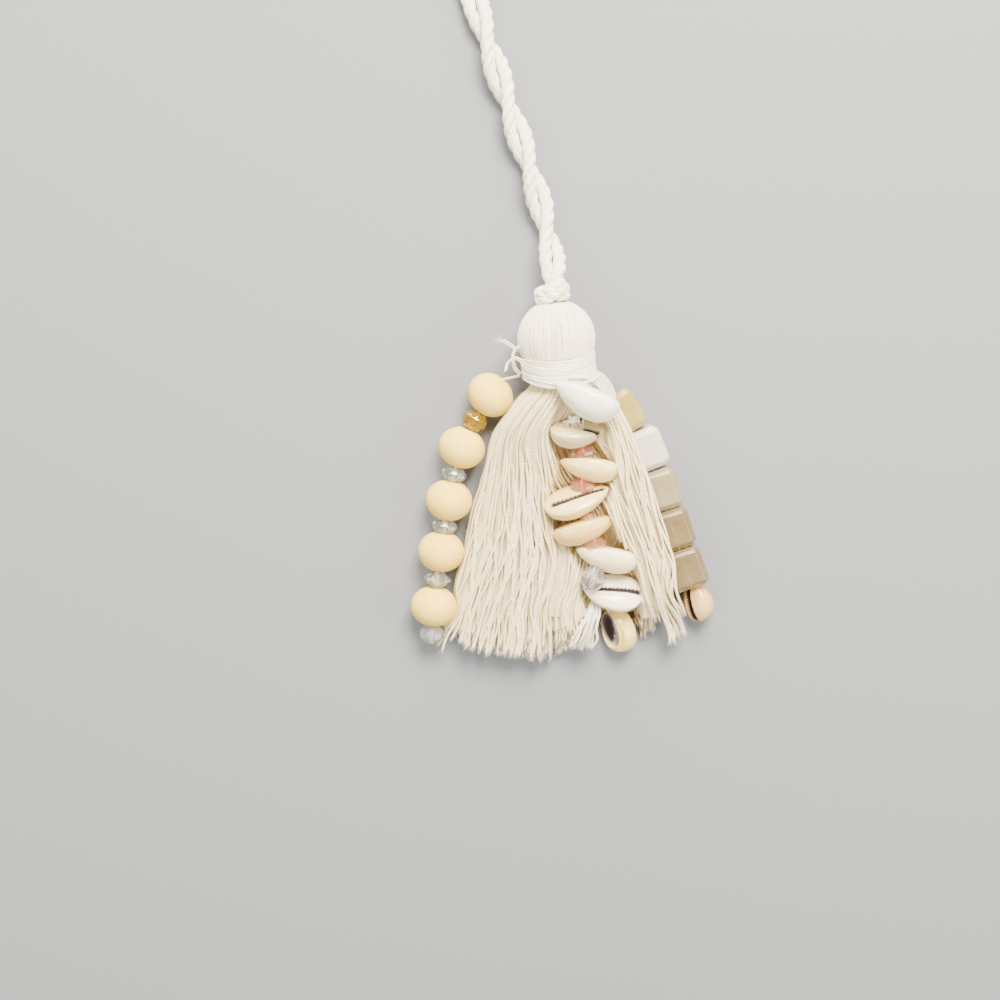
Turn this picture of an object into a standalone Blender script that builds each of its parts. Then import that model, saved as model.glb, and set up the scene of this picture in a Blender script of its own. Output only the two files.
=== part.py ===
"""A cotton hanging tassel: a round yarn-covered head, a skirt of loose yarn, a doubled hanging cord, and three
strings of wooden, glass and cowrie-shell beads. It lies on its back on the XY plane with its head towards +Y.
Blender units are metres, +Z is up, and the tables below are in millimetres."""

import math
from collections import namedtuple

import bmesh
import bpy
import numpy as np
from mathutils import Matrix, Vector

MM = 0.001
CLEARANCE = 0.3

# Where the footprint's centre lies in the tables' own frame
FOOTPRINT_CENTRE = (-0.42, -1.16)

# Head and neck
HEAD_CENTRE = (-2.6, 43.5, 12.0)
HEAD_LEAN = 5.5
HEAD_RADIUS = 12.2
DIMPLE_HEIGHT = 10.3
DIMPLE_RADIUS = 6.0
NECK_RADIUS = 10.6
NECK_START = -6.0
NECK_END = -15.5
WRAP_RADIUS = 11.7
WRAP_START = -6.4
WRAP_END = -14.7
WRAP_RIDGES = 4

# Skirt yarn
YARN_LENGTH = 97.0
YARN_COUNTS = (160, 420, 900)
YARN_RADIUS_ROOT = 0.6
YARN_RADIUS_HEM = 0.76
YARN_SPACING = 1.8
ROOT_CENTRE = (-1.5, 12.0)
ROOT_RADIUS = 9.9
ROOT_Y = 33.0
NECK_EXIT_Y = 28.0
VALLEY_DEPTH = 6.2
CREST_BLEND = 8.0

# Bead strings
THREAD_RADIUS = 0.45
BORE_RADIUS = 1.0
WOOD_RADIUS = 7.5
WOOD_HALF_LENGTH = 6.3
WOOD_FLAT_RADIUS = 2.6
WOOD_STEPS = 14
WOOD_REST = WOOD_RADIUS * math.cos(math.pi / WOOD_STEPS)
CUBE_SIZE = 12.3
CUBE_BEVEL = 1.9

# Hanging cord: one cord folded in half, its two legs wound about each other
LEG_RADIUS = 2.25
LEG_OFFSET = 2.42
HALF_TURN = 19.3
FIRST_CROSSING = -2.0
CROSSINGS = 5
UNWINDING = 12.0
EYE_BEND = 10.2
CORD_RINGS = 84

# The skirt's cross-sections, one under each shell of the middle string. The crests are the heights of its two
# masses, the valley between them holds the shells, and the perch is where it steps up onto the square beads.
# Neck is the share of the neck's own round section.
Section = namedtuple(
    "Section",
    "y neck left left_crest valley valley_top valley_half right_crest right perch perch_top",
)
SKIRT_SECTIONS = (
    Section(24.4, 0.5, -15.8, 21.5, 6.9, 18.2, 11.5, 20.0, 15.4, 7.6, 12.6),
    Section(13.4, 0.1, -23.2, 18.4, 3.2, 10.6, 10.5, 18.8, 20.4, 7.8, 13.0),
    Section(2.2, 0.0, -26.2, 15.4, 7.3, 8.2, 10.6, 18.4, 23.6, 14.8, 13.0),
    Section(-8.4, 0.0, -28.6, 14.0, 3.8, 7.0, 11.6, 18.0, 27.6, 19.8, 13.0),
    Section(-17.7, 0.0, -30.4, 12.8, 6.6, 6.3, 11.6, 18.0, 31.4, 24.4, 13.0),
    Section(-27.2, 0.0, -31.4, 11.8, 13.4, 6.0, 11.0, 17.8, 35.2, 28.6, 13.0),
    Section(-39.2, 0.0, -33.4, 10.8, 15.4, 3.2, 10.6, 16.6, 38.0, 32.6, 13.0),
    Section(-51.8, 0.0, -37.0, 9.8, 17.4, -3.0, 7.6, 10.6, 40.6, 36.0, 0.0),
    Section(-70.0, 0.0, -45.0, 8.4, 18.0, -3.0, 7.6, 8.8, 44.0, 38.0, 0.0),
)

Bead = namedtuple("Bead", "name kind x y z heading")
LEFT_STRING = (
    Bead("wood_bead_1", "wood", -23.8, 25.0, WOOD_REST, 38),
    Bead("amber_crystal", "round", -28.9, 16.9, 7.5, 28),
    Bead("wood_bead_2", "wood", -33.0, 8.2, WOOD_REST, 20),
    Bead("clear_crystal_1", "flat", -35.5, -0.3, 7.5, 14),
    Bead("wood_bead_3", "wood", -37.2, -8.8, WOOD_REST, 10),
    Bead("clear_crystal_2", "flat", -38.6, -17.2, 7.5, 9),
    Bead("wood_bead_4", "wood", -39.8, -25.6, WOOD_REST, 8),
    Bead("bicone_crystal", "bicone", -41.1, -34.7, 7.5, 8),
    Bead("wood_bead_5", "wood", -42.3, -43.8, WOOD_REST, 6),
    Bead("end_crystal", "round", -43.1, -53.3, 6.4, 5),
)
MIDDLE_STRING = (
    Bead("pink_crystal_1", "flat", 4.4, 7.8, 19.2, -6),
    Bead("pink_crystal_2", "flat", 4.6, -2.9, 17.6, 2),
    Bead("pale_crystal", "small", 7.6, -12.7, 18.4, -4),
    Bead("peach_crystal", "flat", 9.2, -21.8, 19.4, -6),
    Bead("large_crystal", "round", 9.6, -33.4, 17.4, 0),
)
RIGHT_STRING = (
    Bead("cube_bead_1", "cube", 17.6, 19.4, 6.15, -30),
    Bead("cube_bead_2", "cube", 25.4, 7.8, 6.15, -23),
    Bead("cube_bead_3", "cube", 30.2, -5.2, 6.15, -19),
    Bead("cube_bead_4", "cube", 34.6, -18.0, 6.15, -19),
    Bead("cube_bead_5", "cube", 39.0, -30.8, 6.15, -20),
)

Crystal = namedtuple("Crystal", "radius half_length girdle table steps")
CRYSTALS = {
    "round": Crystal(4.0, 2.75, 0.9, 0.62, 10),
    "flat": Crystal(4.0, 1.5, 0.4, 0.6, 10),
    "small": Crystal(1.9, 0.9, 0.3, 0.7, 8),
    "bicone": Crystal(4.6, 2.7, 0.12, 0.36, 8),
}

Cowrie = namedtuple("Cowrie", "name x y z length width height turn roll")
COWRIES = (
    Cowrie("cowrie_1", 6.9, 22.9, 25.0, 21.0, 12.5, 9.2, -22, 100),
    Cowrie("cowrie_2", 3.2, 13.4, 17.0, 17.0, 12.0, 7.6, 180, -72),
    Cowrie("cowrie_3", 7.3, 2.2, 14.8, 19.2, 12.4, 7.2, -7, 108),
    Cowrie("cowrie_4", 3.8, -8.4, 13.6, 21.2, 13.0, 7.6, 198, -60),
    Cowrie("cowrie_5", 6.6, -17.7, 13.0, 21.2, 12.6, 7.4, 196, -104),
    Cowrie("cowrie_6", 13.4, -27.2, 12.6, 20.4, 12.6, 7.8, -9, 108),
    Cowrie("cowrie_7", 15.4, -39.2, 9.4, 19.4, 12.6, 8.4, -8, 38),
    Cowrie("cowrie_cut", 17.2, -51.8, 4.75, 17.5, 11.5, 8.6, -74, 140),
    Cowrie("cowrie_side", 44.3, -43.3, 4.75, 13.4, 10.6, 8.6, -78, -52),
)
FLOOR_SHELLS = ("cowrie_cut", "cowrie_side")
MIDDLE_THREAD_START = (1.5, 31.0, 24.0)
MIDDLE_THREAD_END = (14.6, -45.3, 9.0)

# The doubled cord's middle line, from the knot outwards
Route = namedtuple("Route", "x y z")
CORD_ROUTE = (
    Route(-4.2, 62.6, 11.6),
    Route(-4.6, 68.0, 9.3),
    Route(-5.6, 74.0, 6.4),
    Route(-7.4, 81.0, 4.85),
    Route(-9.4, 88.0, 4.75),
    Route(-12.6, 98.0, 4.75),
    Route(-16.4, 109.0, 4.75),
    Route(-20.6, 121.0, 4.75),
    Route(-24.6, 133.0, 4.75),
    Route(-27.2, 141.0, 4.3),
    Route(-30.0, 150.0, 2.4),
    Route(-33.2, 160.0, 2.25),
)
KNOT_CENTRE = (-3.95, 57.55, 12.0)
KNOT_RING_RADIUS = 3.5
KNOT_STRAND_RADIUS = 1.75
KNOT_CORE_PROFILE = ((0.0, 2.6), (3.2, 2.2), (3.6, 0.0), (3.2, -2.2), (0.0, -2.6))

Material = namedtuple("Material", "colour roughness metallic")
FINISHES = {
    "cotton": Material((0.80, 0.74, 0.63), 0.9, 0.0),
    "cord_cotton": Material((0.86, 0.83, 0.77), 0.9, 0.0),
    "pale_wood": Material((0.80, 0.66, 0.42), 0.55, 0.0),
    "clear_glass": Material((0.80, 0.82, 0.84), 0.08, 0.0),
    "amber_glass": Material((0.72, 0.52, 0.12), 0.08, 0.0),
    "pink_glass": Material((0.86, 0.56, 0.47), 0.1, 0.0),
    "champagne_glass": Material((0.72, 0.62, 0.48), 0.12, 0.0),
    "cowrie_shell": Material((0.84, 0.77, 0.64), 0.25, 0.0),
}


def clear_scene():
    for obj in list(bpy.data.objects):
        bpy.data.objects.remove(obj, do_unlink=True)


def new_collection(name):
    collection = bpy.data.collections.new(name)
    bpy.context.scene.collection.children.link(collection)
    return collection


def new_finish(name):
    finish = FINISHES[name]
    material = bpy.data.materials.new(name)
    material.use_nodes = True
    shader = material.node_tree.nodes["Principled BSDF"]
    shader.inputs["Base Color"].default_value = (*finish.colour, 1.0)
    shader.inputs["Roughness"].default_value = finish.roughness
    shader.inputs["Metallic"].default_value = finish.metallic
    return material


clear_scene()
PARTS = new_collection("tassel")
CUTTERS = new_collection("tassel_cutters")
MATERIALS = {name: new_finish(name) for name in FINISHES}
PLACE = bpy.data.objects.new("tassel_place", None)
PLACE.location = (-FOOTPRINT_CENTRE[0] * MM, -FOOTPRINT_CENTRE[1] * MM, 0.0)
PARTS.objects.link(PLACE)


def point(x, y, z):
    return Vector((x, y, z)) * MM


def add_part(name, data, finish, matrix=None):
    obj = bpy.data.objects.new(name, data)
    data.materials.append(MATERIALS[finish])
    PARTS.objects.link(obj)
    obj.parent = PLACE
    obj.matrix_local = matrix or Matrix()
    return obj


def add_helper(name, mesh, matrix=None):
    """A cutter or a piece to be joined: it isn't a part itself."""
    obj = bpy.data.objects.new(name, mesh)
    CUTTERS.objects.link(obj)
    obj.parent = PLACE
    obj.matrix_local = matrix or Matrix()
    obj.hide_render = True
    obj.display_type = "WIRE"
    return obj


def boolean(obj, other, operation):
    modifier = obj.modifiers.new(operation.lower(), "BOOLEAN")
    modifier.operation = operation
    modifier.object = other
    modifier.solver = "EXACT"
    return modifier


def shade(mesh, angle=40.0):
    mesh.shade_smooth()
    mesh.set_sharp_from_angle(angle=math.radians(angle))


def mesh_from(bm, name):
    bmesh.ops.recalc_face_normals(bm, faces=bm.faces)
    mesh = bpy.data.meshes.new(name)
    bm.to_mesh(mesh)
    bm.free()
    return mesh


def baked(obj):
    """The mesh that the object's modifiers give, with nothing left to evaluate."""
    bpy.context.view_layer.update()
    graph = bpy.context.evaluated_depsgraph_get()
    return bpy.data.meshes.new_from_object(obj.evaluated_get(graph))


def turned(name, profile, steps):
    """A mesh turned about Z from (radius, height) points in millimetres, which run down the outer side."""
    mesh = bpy.data.meshes.new(name)
    points = [(r * MM, 0.0, h * MM) for r, h in profile]
    edges = [(i, (i + 1) % len(points)) for i in range(len(points))]
    if profile[0][0] < CLEARANCE * 0.1:
        edges.pop()
    mesh.from_pydata(points, edges, [])
    holder = bpy.data.objects.new(name, mesh)
    CUTTERS.objects.link(holder)
    screw = holder.modifiers.new("turn", "SCREW")
    screw.steps = steps
    screw.render_steps = steps
    screw.use_merge_vertices = True
    screw.merge_threshold = 0.00001
    result = baked(holder)
    bpy.data.objects.remove(holder)
    bm = bmesh.new()
    bm.from_mesh(result)
    return mesh_from(bm, name)


def cylinder(name, start, end, radius, sides=8):
    """A closed cylinder between two points in millimetres, as a helper."""
    bm = bmesh.new()
    axis = point(*end) - point(*start)
    bmesh.ops.create_cone(
        bm,
        cap_ends=True,
        segments=sides,
        radius1=radius * MM,
        radius2=radius * MM,
        depth=axis.length,
    )
    middle = (point(*start) + point(*end)) / 2
    matrix = Matrix.Translation(middle) @ axis.to_track_quat("Z", "Y").to_matrix().to_4x4()
    return add_helper(name, mesh_from(bm, name), matrix)


def wire_curve(name, points, radii, sides_setting):
    """A POLY spline through points in millimetres, with a round section of those radii."""
    curve = bpy.data.curves.new(name, "CURVE")
    curve.dimensions = "3D"
    curve.bevel_depth = MM
    curve.bevel_resolution = sides_setting
    curve.use_fill_caps = True
    spline = curve.splines.new("POLY")
    spline.points.add(len(points) - 1)
    for spot, place, radius in zip(spline.points, points, radii):
        spot.co = (*point(*place), 1.0)
        spot.radius = radius
    return curve


def smooth_path(points, count):
    """Points at even steps on a smooth curve through the given ones."""
    points = np.array(points, float)
    knots = np.concatenate([[0], np.cumsum(np.linalg.norm(np.diff(points, axis=0), axis=1))])
    fine = np.linspace(0, knots[-1], 40 * len(points))
    dense = np.stack([hermite(knots, points[:, k], fine) for k in range(3)], axis=1)
    along = np.concatenate([[0], np.cumsum(np.linalg.norm(np.diff(dense, axis=0), axis=1))])
    steps = np.linspace(0, along[-1], count)
    return np.stack([np.interp(steps, along, dense[:, k]) for k in range(3)], axis=1)


def hermite(knots, values, where):
    """A smooth curve through values at rising knots, read at the given places."""
    knots, values = np.array(knots, float), np.array(values, float)
    slopes = np.gradient(values, knots)
    i = np.clip(np.searchsorted(knots, where) - 1, 0, len(knots) - 2)
    step = knots[i + 1] - knots[i]
    t = (where - knots[i]) / step
    rise = values[i + 1] - values[i]
    bend = (1 - t) * (slopes[i] * step - rise) - t * (slopes[i + 1] * step - rise)
    return values[i] + t * rise + t * (1 - t) * bend


def heading_axis(heading):
    """The direction of a string in plan: 0 runs straight to the hem, and positive leans to the left."""
    angle = math.radians(heading)
    return Vector((-math.sin(angle), -math.cos(angle), 0.0))


def bead_matrix(bead):
    """Local Z lies along the string, and local X stays level."""
    axis = heading_axis(bead.heading)
    across = Vector((0, 0, 1)).cross(axis)
    turn = Matrix((across, Vector((0, 0, 1)), axis)).transposed().to_4x4()
    if turn.determinant() < 0:
        turn = Matrix((-across, Vector((0, 0, 1)), axis)).transposed().to_4x4()
    return Matrix.Translation(point(bead.x, bead.y, bead.z)) @ turn


def half_length(bead):
    if bead.kind == "wood":
        return WOOD_HALF_LENGTH
    if bead.kind == "cube":
        return CUBE_SIZE / 2
    return CRYSTALS[bead.kind].half_length


def ends_of(bead):
    """Where the thread enters and leaves a bead, in millimetres."""
    reach = heading_axis(bead.heading) * (half_length(bead) + CLEARANCE / 2)
    middle = Vector((bead.x, bead.y, bead.z))
    return tuple(middle - reach), tuple(middle + reach)


# Beads


def wood_profile():
    """An oblate ball with small flats around its bore."""
    start = math.asin(WOOD_FLAT_RADIUS / WOOD_RADIUS)
    angles = np.linspace(start, math.pi - start, 8)
    squash = WOOD_HALF_LENGTH / (WOOD_RADIUS * math.cos(start))
    outside = [
        (WOOD_RADIUS * math.sin(a), WOOD_RADIUS * math.cos(a) * squash) for a in angles
    ]
    return [(BORE_RADIUS, WOOD_HALF_LENGTH), *outside, (BORE_RADIUS, -WOOD_HALF_LENGTH)]


def crystal_profile(kind):
    shape = CRYSTALS[kind]
    table = shape.radius * shape.table
    return [
        (BORE_RADIUS, shape.half_length),
        (table, shape.half_length),
        (shape.radius, shape.girdle),
        (shape.radius, -shape.girdle),
        (table, -shape.half_length),
        (BORE_RADIUS, -shape.half_length),
    ]


def cube_mesh(name):
    """A square bead with bevelled edges, bored along Z."""
    bm = bmesh.new()
    bmesh.ops.create_cube(bm, size=CUBE_SIZE * MM)
    bmesh.ops.bevel(
        bm,
        geom=list(bm.edges),
        offset=CUBE_BEVEL * MM,
        segments=1,
        profile=0.5,
        affect="EDGES",
    )
    return mesh_from(bm, name)


BEAD_FINISH = {
    "amber_crystal": "amber_glass",
    "pink_crystal_1": "pink_glass",
    "pink_crystal_2": "pink_glass",
    "peach_crystal": "pink_glass",
}


def build_bead(bead):
    if bead.kind == "cube":
        obj = add_part(bead.name, cube_mesh(bead.name), "champagne_glass", bead_matrix(bead))
        start, end = (Vector(p) for p in ends_of(bead))
        reach = (end - start).normalized()
        boolean(
            obj,
            cylinder(bead.name + "_bore", start - reach, end + reach, BORE_RADIUS),
            "DIFFERENCE",
        )
        return obj
    if bead.kind == "wood":
        mesh = turned(bead.name, wood_profile(), WOOD_STEPS)
        shade(mesh)
        return add_part(bead.name, mesh, "pale_wood", bead_matrix(bead))
    mesh = turned(bead.name, crystal_profile(bead.kind), CRYSTALS[bead.kind].steps)
    finish = BEAD_FINISH.get(bead.name, "clear_glass")
    return add_part(bead.name, mesh, finish, bead_matrix(bead))


# Cowrie shells

SLIT_DEPTH = 1.0
SLIT_SHARE = 0.8
BELLY_SHARE = 0.34
EGG_SHARE = 0.12
SHELL_SEGMENTS = 14
SHELL_RINGS = 9


def cowrie_matrix(shell):
    turn = Matrix.Rotation(math.radians(shell.turn), 4, "Z")
    roll = Matrix.Rotation(math.radians(-shell.roll), 4, "X")
    return Matrix.Translation(point(shell.x, shell.y, shell.z)) @ turn @ roll


def cowrie_mesh(shell):
    """An egg along X, broad at +X, with a flatter belly at +Z that a slit divides."""
    bm = bmesh.new()
    bmesh.ops.create_uvsphere(bm, u_segments=SHELL_SEGMENTS, v_segments=SHELL_RINGS, radius=1.0)
    crowd = math.radians(60)
    for vertex in bm.verts:
        along = max(-1.0, min(1.0, vertex.co.z))
        angle = math.atan2(vertex.co.y, vertex.co.x)
        ring = math.hypot(vertex.co.x, vertex.co.y)
        if abs(angle) < crowd:
            angle = math.copysign(crowd * (abs(angle) / crowd) ** 1.9, angle)
        girth = ring * (1 + EGG_SHARE * along)
        side = girth * math.sin(angle) * shell.width / 2
        face = girth * math.cos(angle) * shell.height
        face *= BELLY_SHARE if face > 0 else 1 - BELLY_SHARE
        face += (0.5 - BELLY_SHARE) * shell.height
        if abs(angle) < 1e-4 and abs(along) < SLIT_SHARE:
            face -= SLIT_DEPTH
        vertex.co = point(along * shell.length / 2, side, face)
    mesh = mesh_from(bm, shell.name)
    shade(mesh, 50)
    return mesh


def build_cowrie(shell, floor, bore=None):
    obj = add_part(shell.name, cowrie_mesh(shell), "cowrie_shell", cowrie_matrix(shell))
    if shell.name in FLOOR_SHELLS:
        boolean(obj, floor, "DIFFERENCE")
    if shell.name == "cowrie_cut":
        hollow = bmesh.new()
        bmesh.ops.create_uvsphere(hollow, u_segments=12, v_segments=8, radius=1.0)
        size = (shell.length * 0.36, shell.width * 0.33, shell.height * 0.6)
        bmesh.ops.scale(hollow, vec=Vector(size) * MM, verts=hollow.verts)
        lift = Matrix.Translation(point(0.0, 0.0, -shell.height * 0.55))
        cutter = add_helper(
            "cowrie_hollow", mesh_from(hollow, "cowrie_hollow"), cowrie_matrix(shell) @ lift
        )
        boolean(obj, cutter, "DIFFERENCE")
    if bore:
        start, end = (Vector(p) for p in bore)
        reach = (end - start).normalized() * shell.width / 2
        boolean(
            obj,
            cylinder(shell.name + "_bore", start - reach, end + reach, BORE_RADIUS),
            "DIFFERENCE",
        )
    return obj


# Threads


def build_thread(name, points, knot_at_end=True):
    """A thread with a knot swelling at its free end."""
    radii = [THREAD_RADIUS] * len(points)
    points = [tuple(p) for p in points]
    if knot_at_end:
        end = Vector(points[-1])
        reach = (end - Vector(points[-2])).normalized()
        points += [tuple(end + reach * d) for d in (0.5, 1.3, 2.1)]
        radii += [THREAD_RADIUS * 2.0, THREAD_RADIUS * 2.2, THREAD_RADIUS * 0.9]
    curve = wire_curve(name, points, radii, 1)
    return add_part(name, curve, "cord_cotton")


# Skirt


def smoothstep(t):
    t = np.clip(t, 0.0, 1.0)
    return t * t * (3 - 2 * t)


def root_section(radius):
    """Places across the neck's round section with the lowest and highest a yarn's middle can be at each."""
    share = np.linspace(-1, 1, 161)
    half = (ROOT_RADIUS - radius) * np.sqrt(1 - share**2)
    x = ROOT_CENTRE[0] + (ROOT_RADIUS - radius) * share
    return x, ROOT_CENTRE[1] - half, ROOT_CENTRE[1] + half


def skirt_section(row, radius):
    """The same for a row of the skirt's table."""
    share = np.linspace(-1, 1, 161)
    x = (row.left + row.right) / 2 + ((row.right - row.left) / 2 - radius) * share
    underside = row.perch_top * (x > row.perch)
    mix = smoothstep((x - row.valley) / CREST_BLEND + 0.5)
    crest = row.left_crest * (1 - mix) + row.right_crest * mix
    low = underside + radius
    top = underside + np.maximum(crest - underside, 3 * radius) * np.sqrt(1 - np.abs(share) ** 4 * 0.75)
    _, neck_low, neck_top = root_section(radius)
    low = np.maximum(low, low * (1 - row.neck) + neck_low * row.neck)
    top = (top - radius) * (1 - row.neck) + neck_top * row.neck
    away = (x - row.valley) / row.valley_half
    valley = row.valley_top + VALLEY_DEPTH * (1 - np.sqrt(np.clip(1 - away**2, 0, 1))) - radius
    top = np.where(np.abs(away) < 1, np.minimum(top, valley), top)
    return x, low, np.maximum(top, low)


def yarn_spot(u, v, section):
    """Where the yarn with unit-disc place (u, v) crosses a section. Every yarn gets the same area."""
    x, low, high = section
    room = high - low
    area = np.concatenate([[0], np.cumsum((room[1:] + room[:-1]) * np.diff(x))])
    before = (math.asin(u) + u * math.sqrt(1 - u * u)) / math.pi + 0.5
    place = float(np.interp(before, area / area[-1], x))
    up = (v / math.sqrt(1 - u * u) + 1) / 2
    base, crown = np.interp(place, x, low), np.interp(place, x, high)
    return place, float(base + up * (crown - base))


def golden_disc(count):
    """Points of the golden lattice inside the unit disc. They stay well apart however flat it is pressed."""
    golden = (1 + math.sqrt(5)) / 2
    pitch = math.sqrt(math.pi / (count * math.sqrt(5)))
    reach = range(-count, count + 1)
    spots = [
        ((m + n * golden) * pitch, (m + n * (1 - golden)) * pitch) for m in reach for n in reach
    ]
    return sorted((u, v) for u, v in spots if u * u + v * v < 0.96)


def yarn_radius(y):
    return np.interp(y, [-70.0, ROOT_Y], [YARN_RADIUS_HEM, YARN_RADIUS_ROOT])


def skirt_stations():
    """Each station's y with its section, from the roots to past the hem."""
    stations = [(y, root_section(yarn_radius(y))) for y in (ROOT_Y, NECK_EXIT_Y)]
    return stations + [(row.y, skirt_section(row, yarn_radius(row.y))) for row in SKIRT_SECTIONS]


def yarn_path(u, v, stations, rng):
    """A yarn's corner points from root to cut end."""
    length = YARN_LENGTH * (1 - 0.07 * abs(u) ** 1.6) + rng.uniform(-1.4, 1.4)
    points = []
    used = 0.0
    for y, section in stations:
        x, z = yarn_spot(u, v, section)
        spot = np.array((x, y, z))
        if points:
            step = float(np.linalg.norm(spot - points[-1]))
            if used + step >= length:
                points.append(points[-1] + (spot - points[-1]) * (length - used) / step)
                break
            used += step
        points.append(spot)
    return np.array(points)


CHECK_Y = np.arange(28.5, -66.0, -1.0)
APART_FROM = 26.0


def crossings(path):
    """Where a path crosses the checking planes, and its direction there; rows past its end are not a number."""
    falling = path[::-1]
    x = np.interp(CHECK_Y, falling[:, 1], falling[:, 0], left=np.nan)
    z = np.interp(CHECK_Y, falling[:, 1], falling[:, 2], left=np.nan)
    spots = np.stack([x, CHECK_Y, z], axis=1)
    direction = np.gradient(spots, axis=0)
    return spots, direction / np.linalg.norm(direction, axis=1)[:, None]


def stand_apart(one, other):
    """Whether two yarns that run much the same way keep their distance all along."""
    apart = one[0] - other[0]
    along = (apart * one[1]).sum(axis=1)
    gap = np.sqrt(np.maximum((apart**2).sum(axis=1) - along**2, 0))
    need = YARN_SPACING * yarn_radius(CHECK_Y) * (CHECK_Y < APART_FROM)
    return not (gap < need).any()


Keepout = namedtuple("Keepout", "matrix half box")


def keepouts():
    """The space of each bead and shell, which the skirt's yarn goes round."""
    found = []
    for bead in (*LEFT_STRING, *MIDDLE_STRING, *RIGHT_STRING):
        if bead.kind == "cube":
            half = (CUBE_SIZE / 2,) * 3
        elif bead.kind == "wood":
            half = (WOOD_RADIUS, WOOD_RADIUS, WOOD_HALF_LENGTH + 0.4)
        else:
            shape = CRYSTALS[bead.kind]
            half = (shape.radius, shape.radius, shape.half_length * 1.25)
        found.append(Keepout(bead_matrix(bead), half, bead.kind == "cube"))
    for shell in COWRIES:
        half = (shell.length / 2, shell.width * 0.52, shell.height * 0.52)
        found.append(Keepout(cowrie_matrix(shell), half, False))
    return found


def is_clear(path, spaces, threads):
    spots, _ = crossings(path)
    spots = spots[np.isfinite(spots).all(axis=1)]
    radius = yarn_radius(spots[:, 1])
    for space in spaces:
        inverse = np.array(space.matrix.inverted())
        local = spots @ inverse[:3, :3].T + inverse[:3, 3] / MM
        half = np.array(space.half) + radius[:, None] + CLEARANCE
        if space.box and (np.abs(local) < half).all(axis=1).any():
            return False
        if not space.box and ((local / half) ** 2).sum(axis=1).min() < 1:
            return False
    apart = np.linalg.norm(spots[:, None, :] - threads[None, :, :], axis=2)
    return (apart > (radius + THREAD_RADIUS * 2 + CLEARANCE)[:, None]).all()


def skirt_yarns(threads):
    """Yarn paths that stand clear of each other and of everything that lies on the skirt."""
    rng = np.random.default_rng(7)
    stations = skirt_stations()
    spaces = keepouts()
    kept = []
    for u, v in (spot for count in YARN_COUNTS for spot in golden_disc(count)):
        path = yarn_path(u, v, stations, rng)
        trace = crossings(path)
        if is_clear(path, spaces, threads) and all(
            stand_apart(trace, other) for _, other in kept
        ):
            kept.append((path, trace))
    return [(path, yarn_radius(path[:, 1])) for path, _ in kept]


def triangle_section():
    """The three-sided outline that each yarn is drawn with."""
    curve = bpy.data.curves.new("yarn_section", "CURVE")
    curve.dimensions = "2D"
    spline = curve.splines.new("POLY")
    spline.points.add(2)
    for i, spot in enumerate(spline.points):
        angle = math.radians(90 + 120 * i)
        spot.co = (MM * math.cos(angle), MM * math.sin(angle), 0.0, 1.0)
    spline.use_cyclic_u = True
    section = bpy.data.objects.new("yarn_section", curve)
    section.hide_render = True
    CUTTERS.objects.link(section)
    return section


def bundle_mesh(name, yarns):
    """One mesh of separate three-sided yarns."""
    curve = bpy.data.curves.new(name, "CURVE")
    curve.dimensions = "3D"
    curve.bevel_mode = "OBJECT"
    curve.bevel_object = triangle_section()
    curve.twist_mode = "Z_UP"
    curve.use_fill_caps = True
    for path, radii in yarns:
        spline = curve.splines.new("POLY")
        spline.points.add(len(path) - 1)
        for spot, place, radius in zip(spline.points, path, radii):
            spot.co = (*point(*place), 1.0)
            spot.radius = radius
    holder = bpy.data.objects.new(name, curve)
    CUTTERS.objects.link(holder)
    mesh = baked(holder)
    bpy.data.objects.remove(holder)
    bm = bmesh.new()
    bm.from_mesh(mesh)
    bmesh.ops.remove_doubles(bm, verts=bm.verts, dist=0.000001)
    return mesh_from(bm, name)


# Head, neck and hanging cord


def head_matrix():
    """Local Z is the head's axis, from the neck to the knot."""
    lean = Matrix.Rotation(math.radians(HEAD_LEAN), 4, "Z")
    lay = Matrix.Rotation(math.radians(-90), 4, "X")
    return Matrix.Translation(point(*HEAD_CENTRE)) @ lean @ lay


def floor_cutter():
    bm = bmesh.new()
    bmesh.ops.create_cube(bm, size=0.4)
    below = Matrix.Translation((0.0, 0.0, -0.2))
    return add_helper("floor_cutter", mesh_from(bm, "floor_cutter"), below)


def build_head(threads, floor):
    """The ball, the gathered neck and the skirt's yarns, fused at their roots."""
    step_height = math.sqrt(HEAD_RADIUS**2 - (WRAP_RADIUS - 0.1) ** 2)
    start = math.asin(DIMPLE_RADIUS / HEAD_RADIUS)
    angles = np.linspace(start, math.pi / 2 + math.asin(step_height / HEAD_RADIUS), 8)
    dome = [(HEAD_RADIUS * math.sin(a), HEAD_RADIUS * math.cos(a)) for a in angles]
    profile = [
        (0.0, DIMPLE_HEIGHT),
        (DIMPLE_RADIUS - 1.6, DIMPLE_HEIGHT),
        *dome,
        (WRAP_RADIUS - 0.2, NECK_START),
        (NECK_RADIUS, NECK_START),
        (NECK_RADIUS, NECK_END),
        (0.0, NECK_END),
    ]
    mesh = turned("head_and_skirt", profile, 24)
    shade(mesh)
    head = add_part("head_and_skirt", mesh, "cotton", head_matrix())
    boolean(head, floor, "DIFFERENCE")
    yarns = skirt_yarns(threads)
    print("skirt yarns", len(yarns))
    union = boolean(head, add_helper("skirt_yarns", bundle_mesh("skirt_yarns", yarns)), "UNION")
    union.use_self = True
    return head


def build_wrap():
    """The binding around the neck, with a ridge for each band of turns."""
    inner = NECK_RADIUS + CLEARANCE
    length = WRAP_START - WRAP_END
    outside = []
    for i in range(2 * WRAP_RIDGES + 1):
        groove = 0.45 if i % 2 == 0 else 0.0
        outside.append((WRAP_RADIUS - groove, WRAP_START - length * i / (2 * WRAP_RIDGES)))
    profile = [(inner, WRAP_START), *outside, (inner, WRAP_END)]
    mesh = turned("neck_wrap", profile, 26)
    shade(mesh)
    return add_part("neck_wrap", mesh, "cord_cotton", head_matrix())


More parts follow.
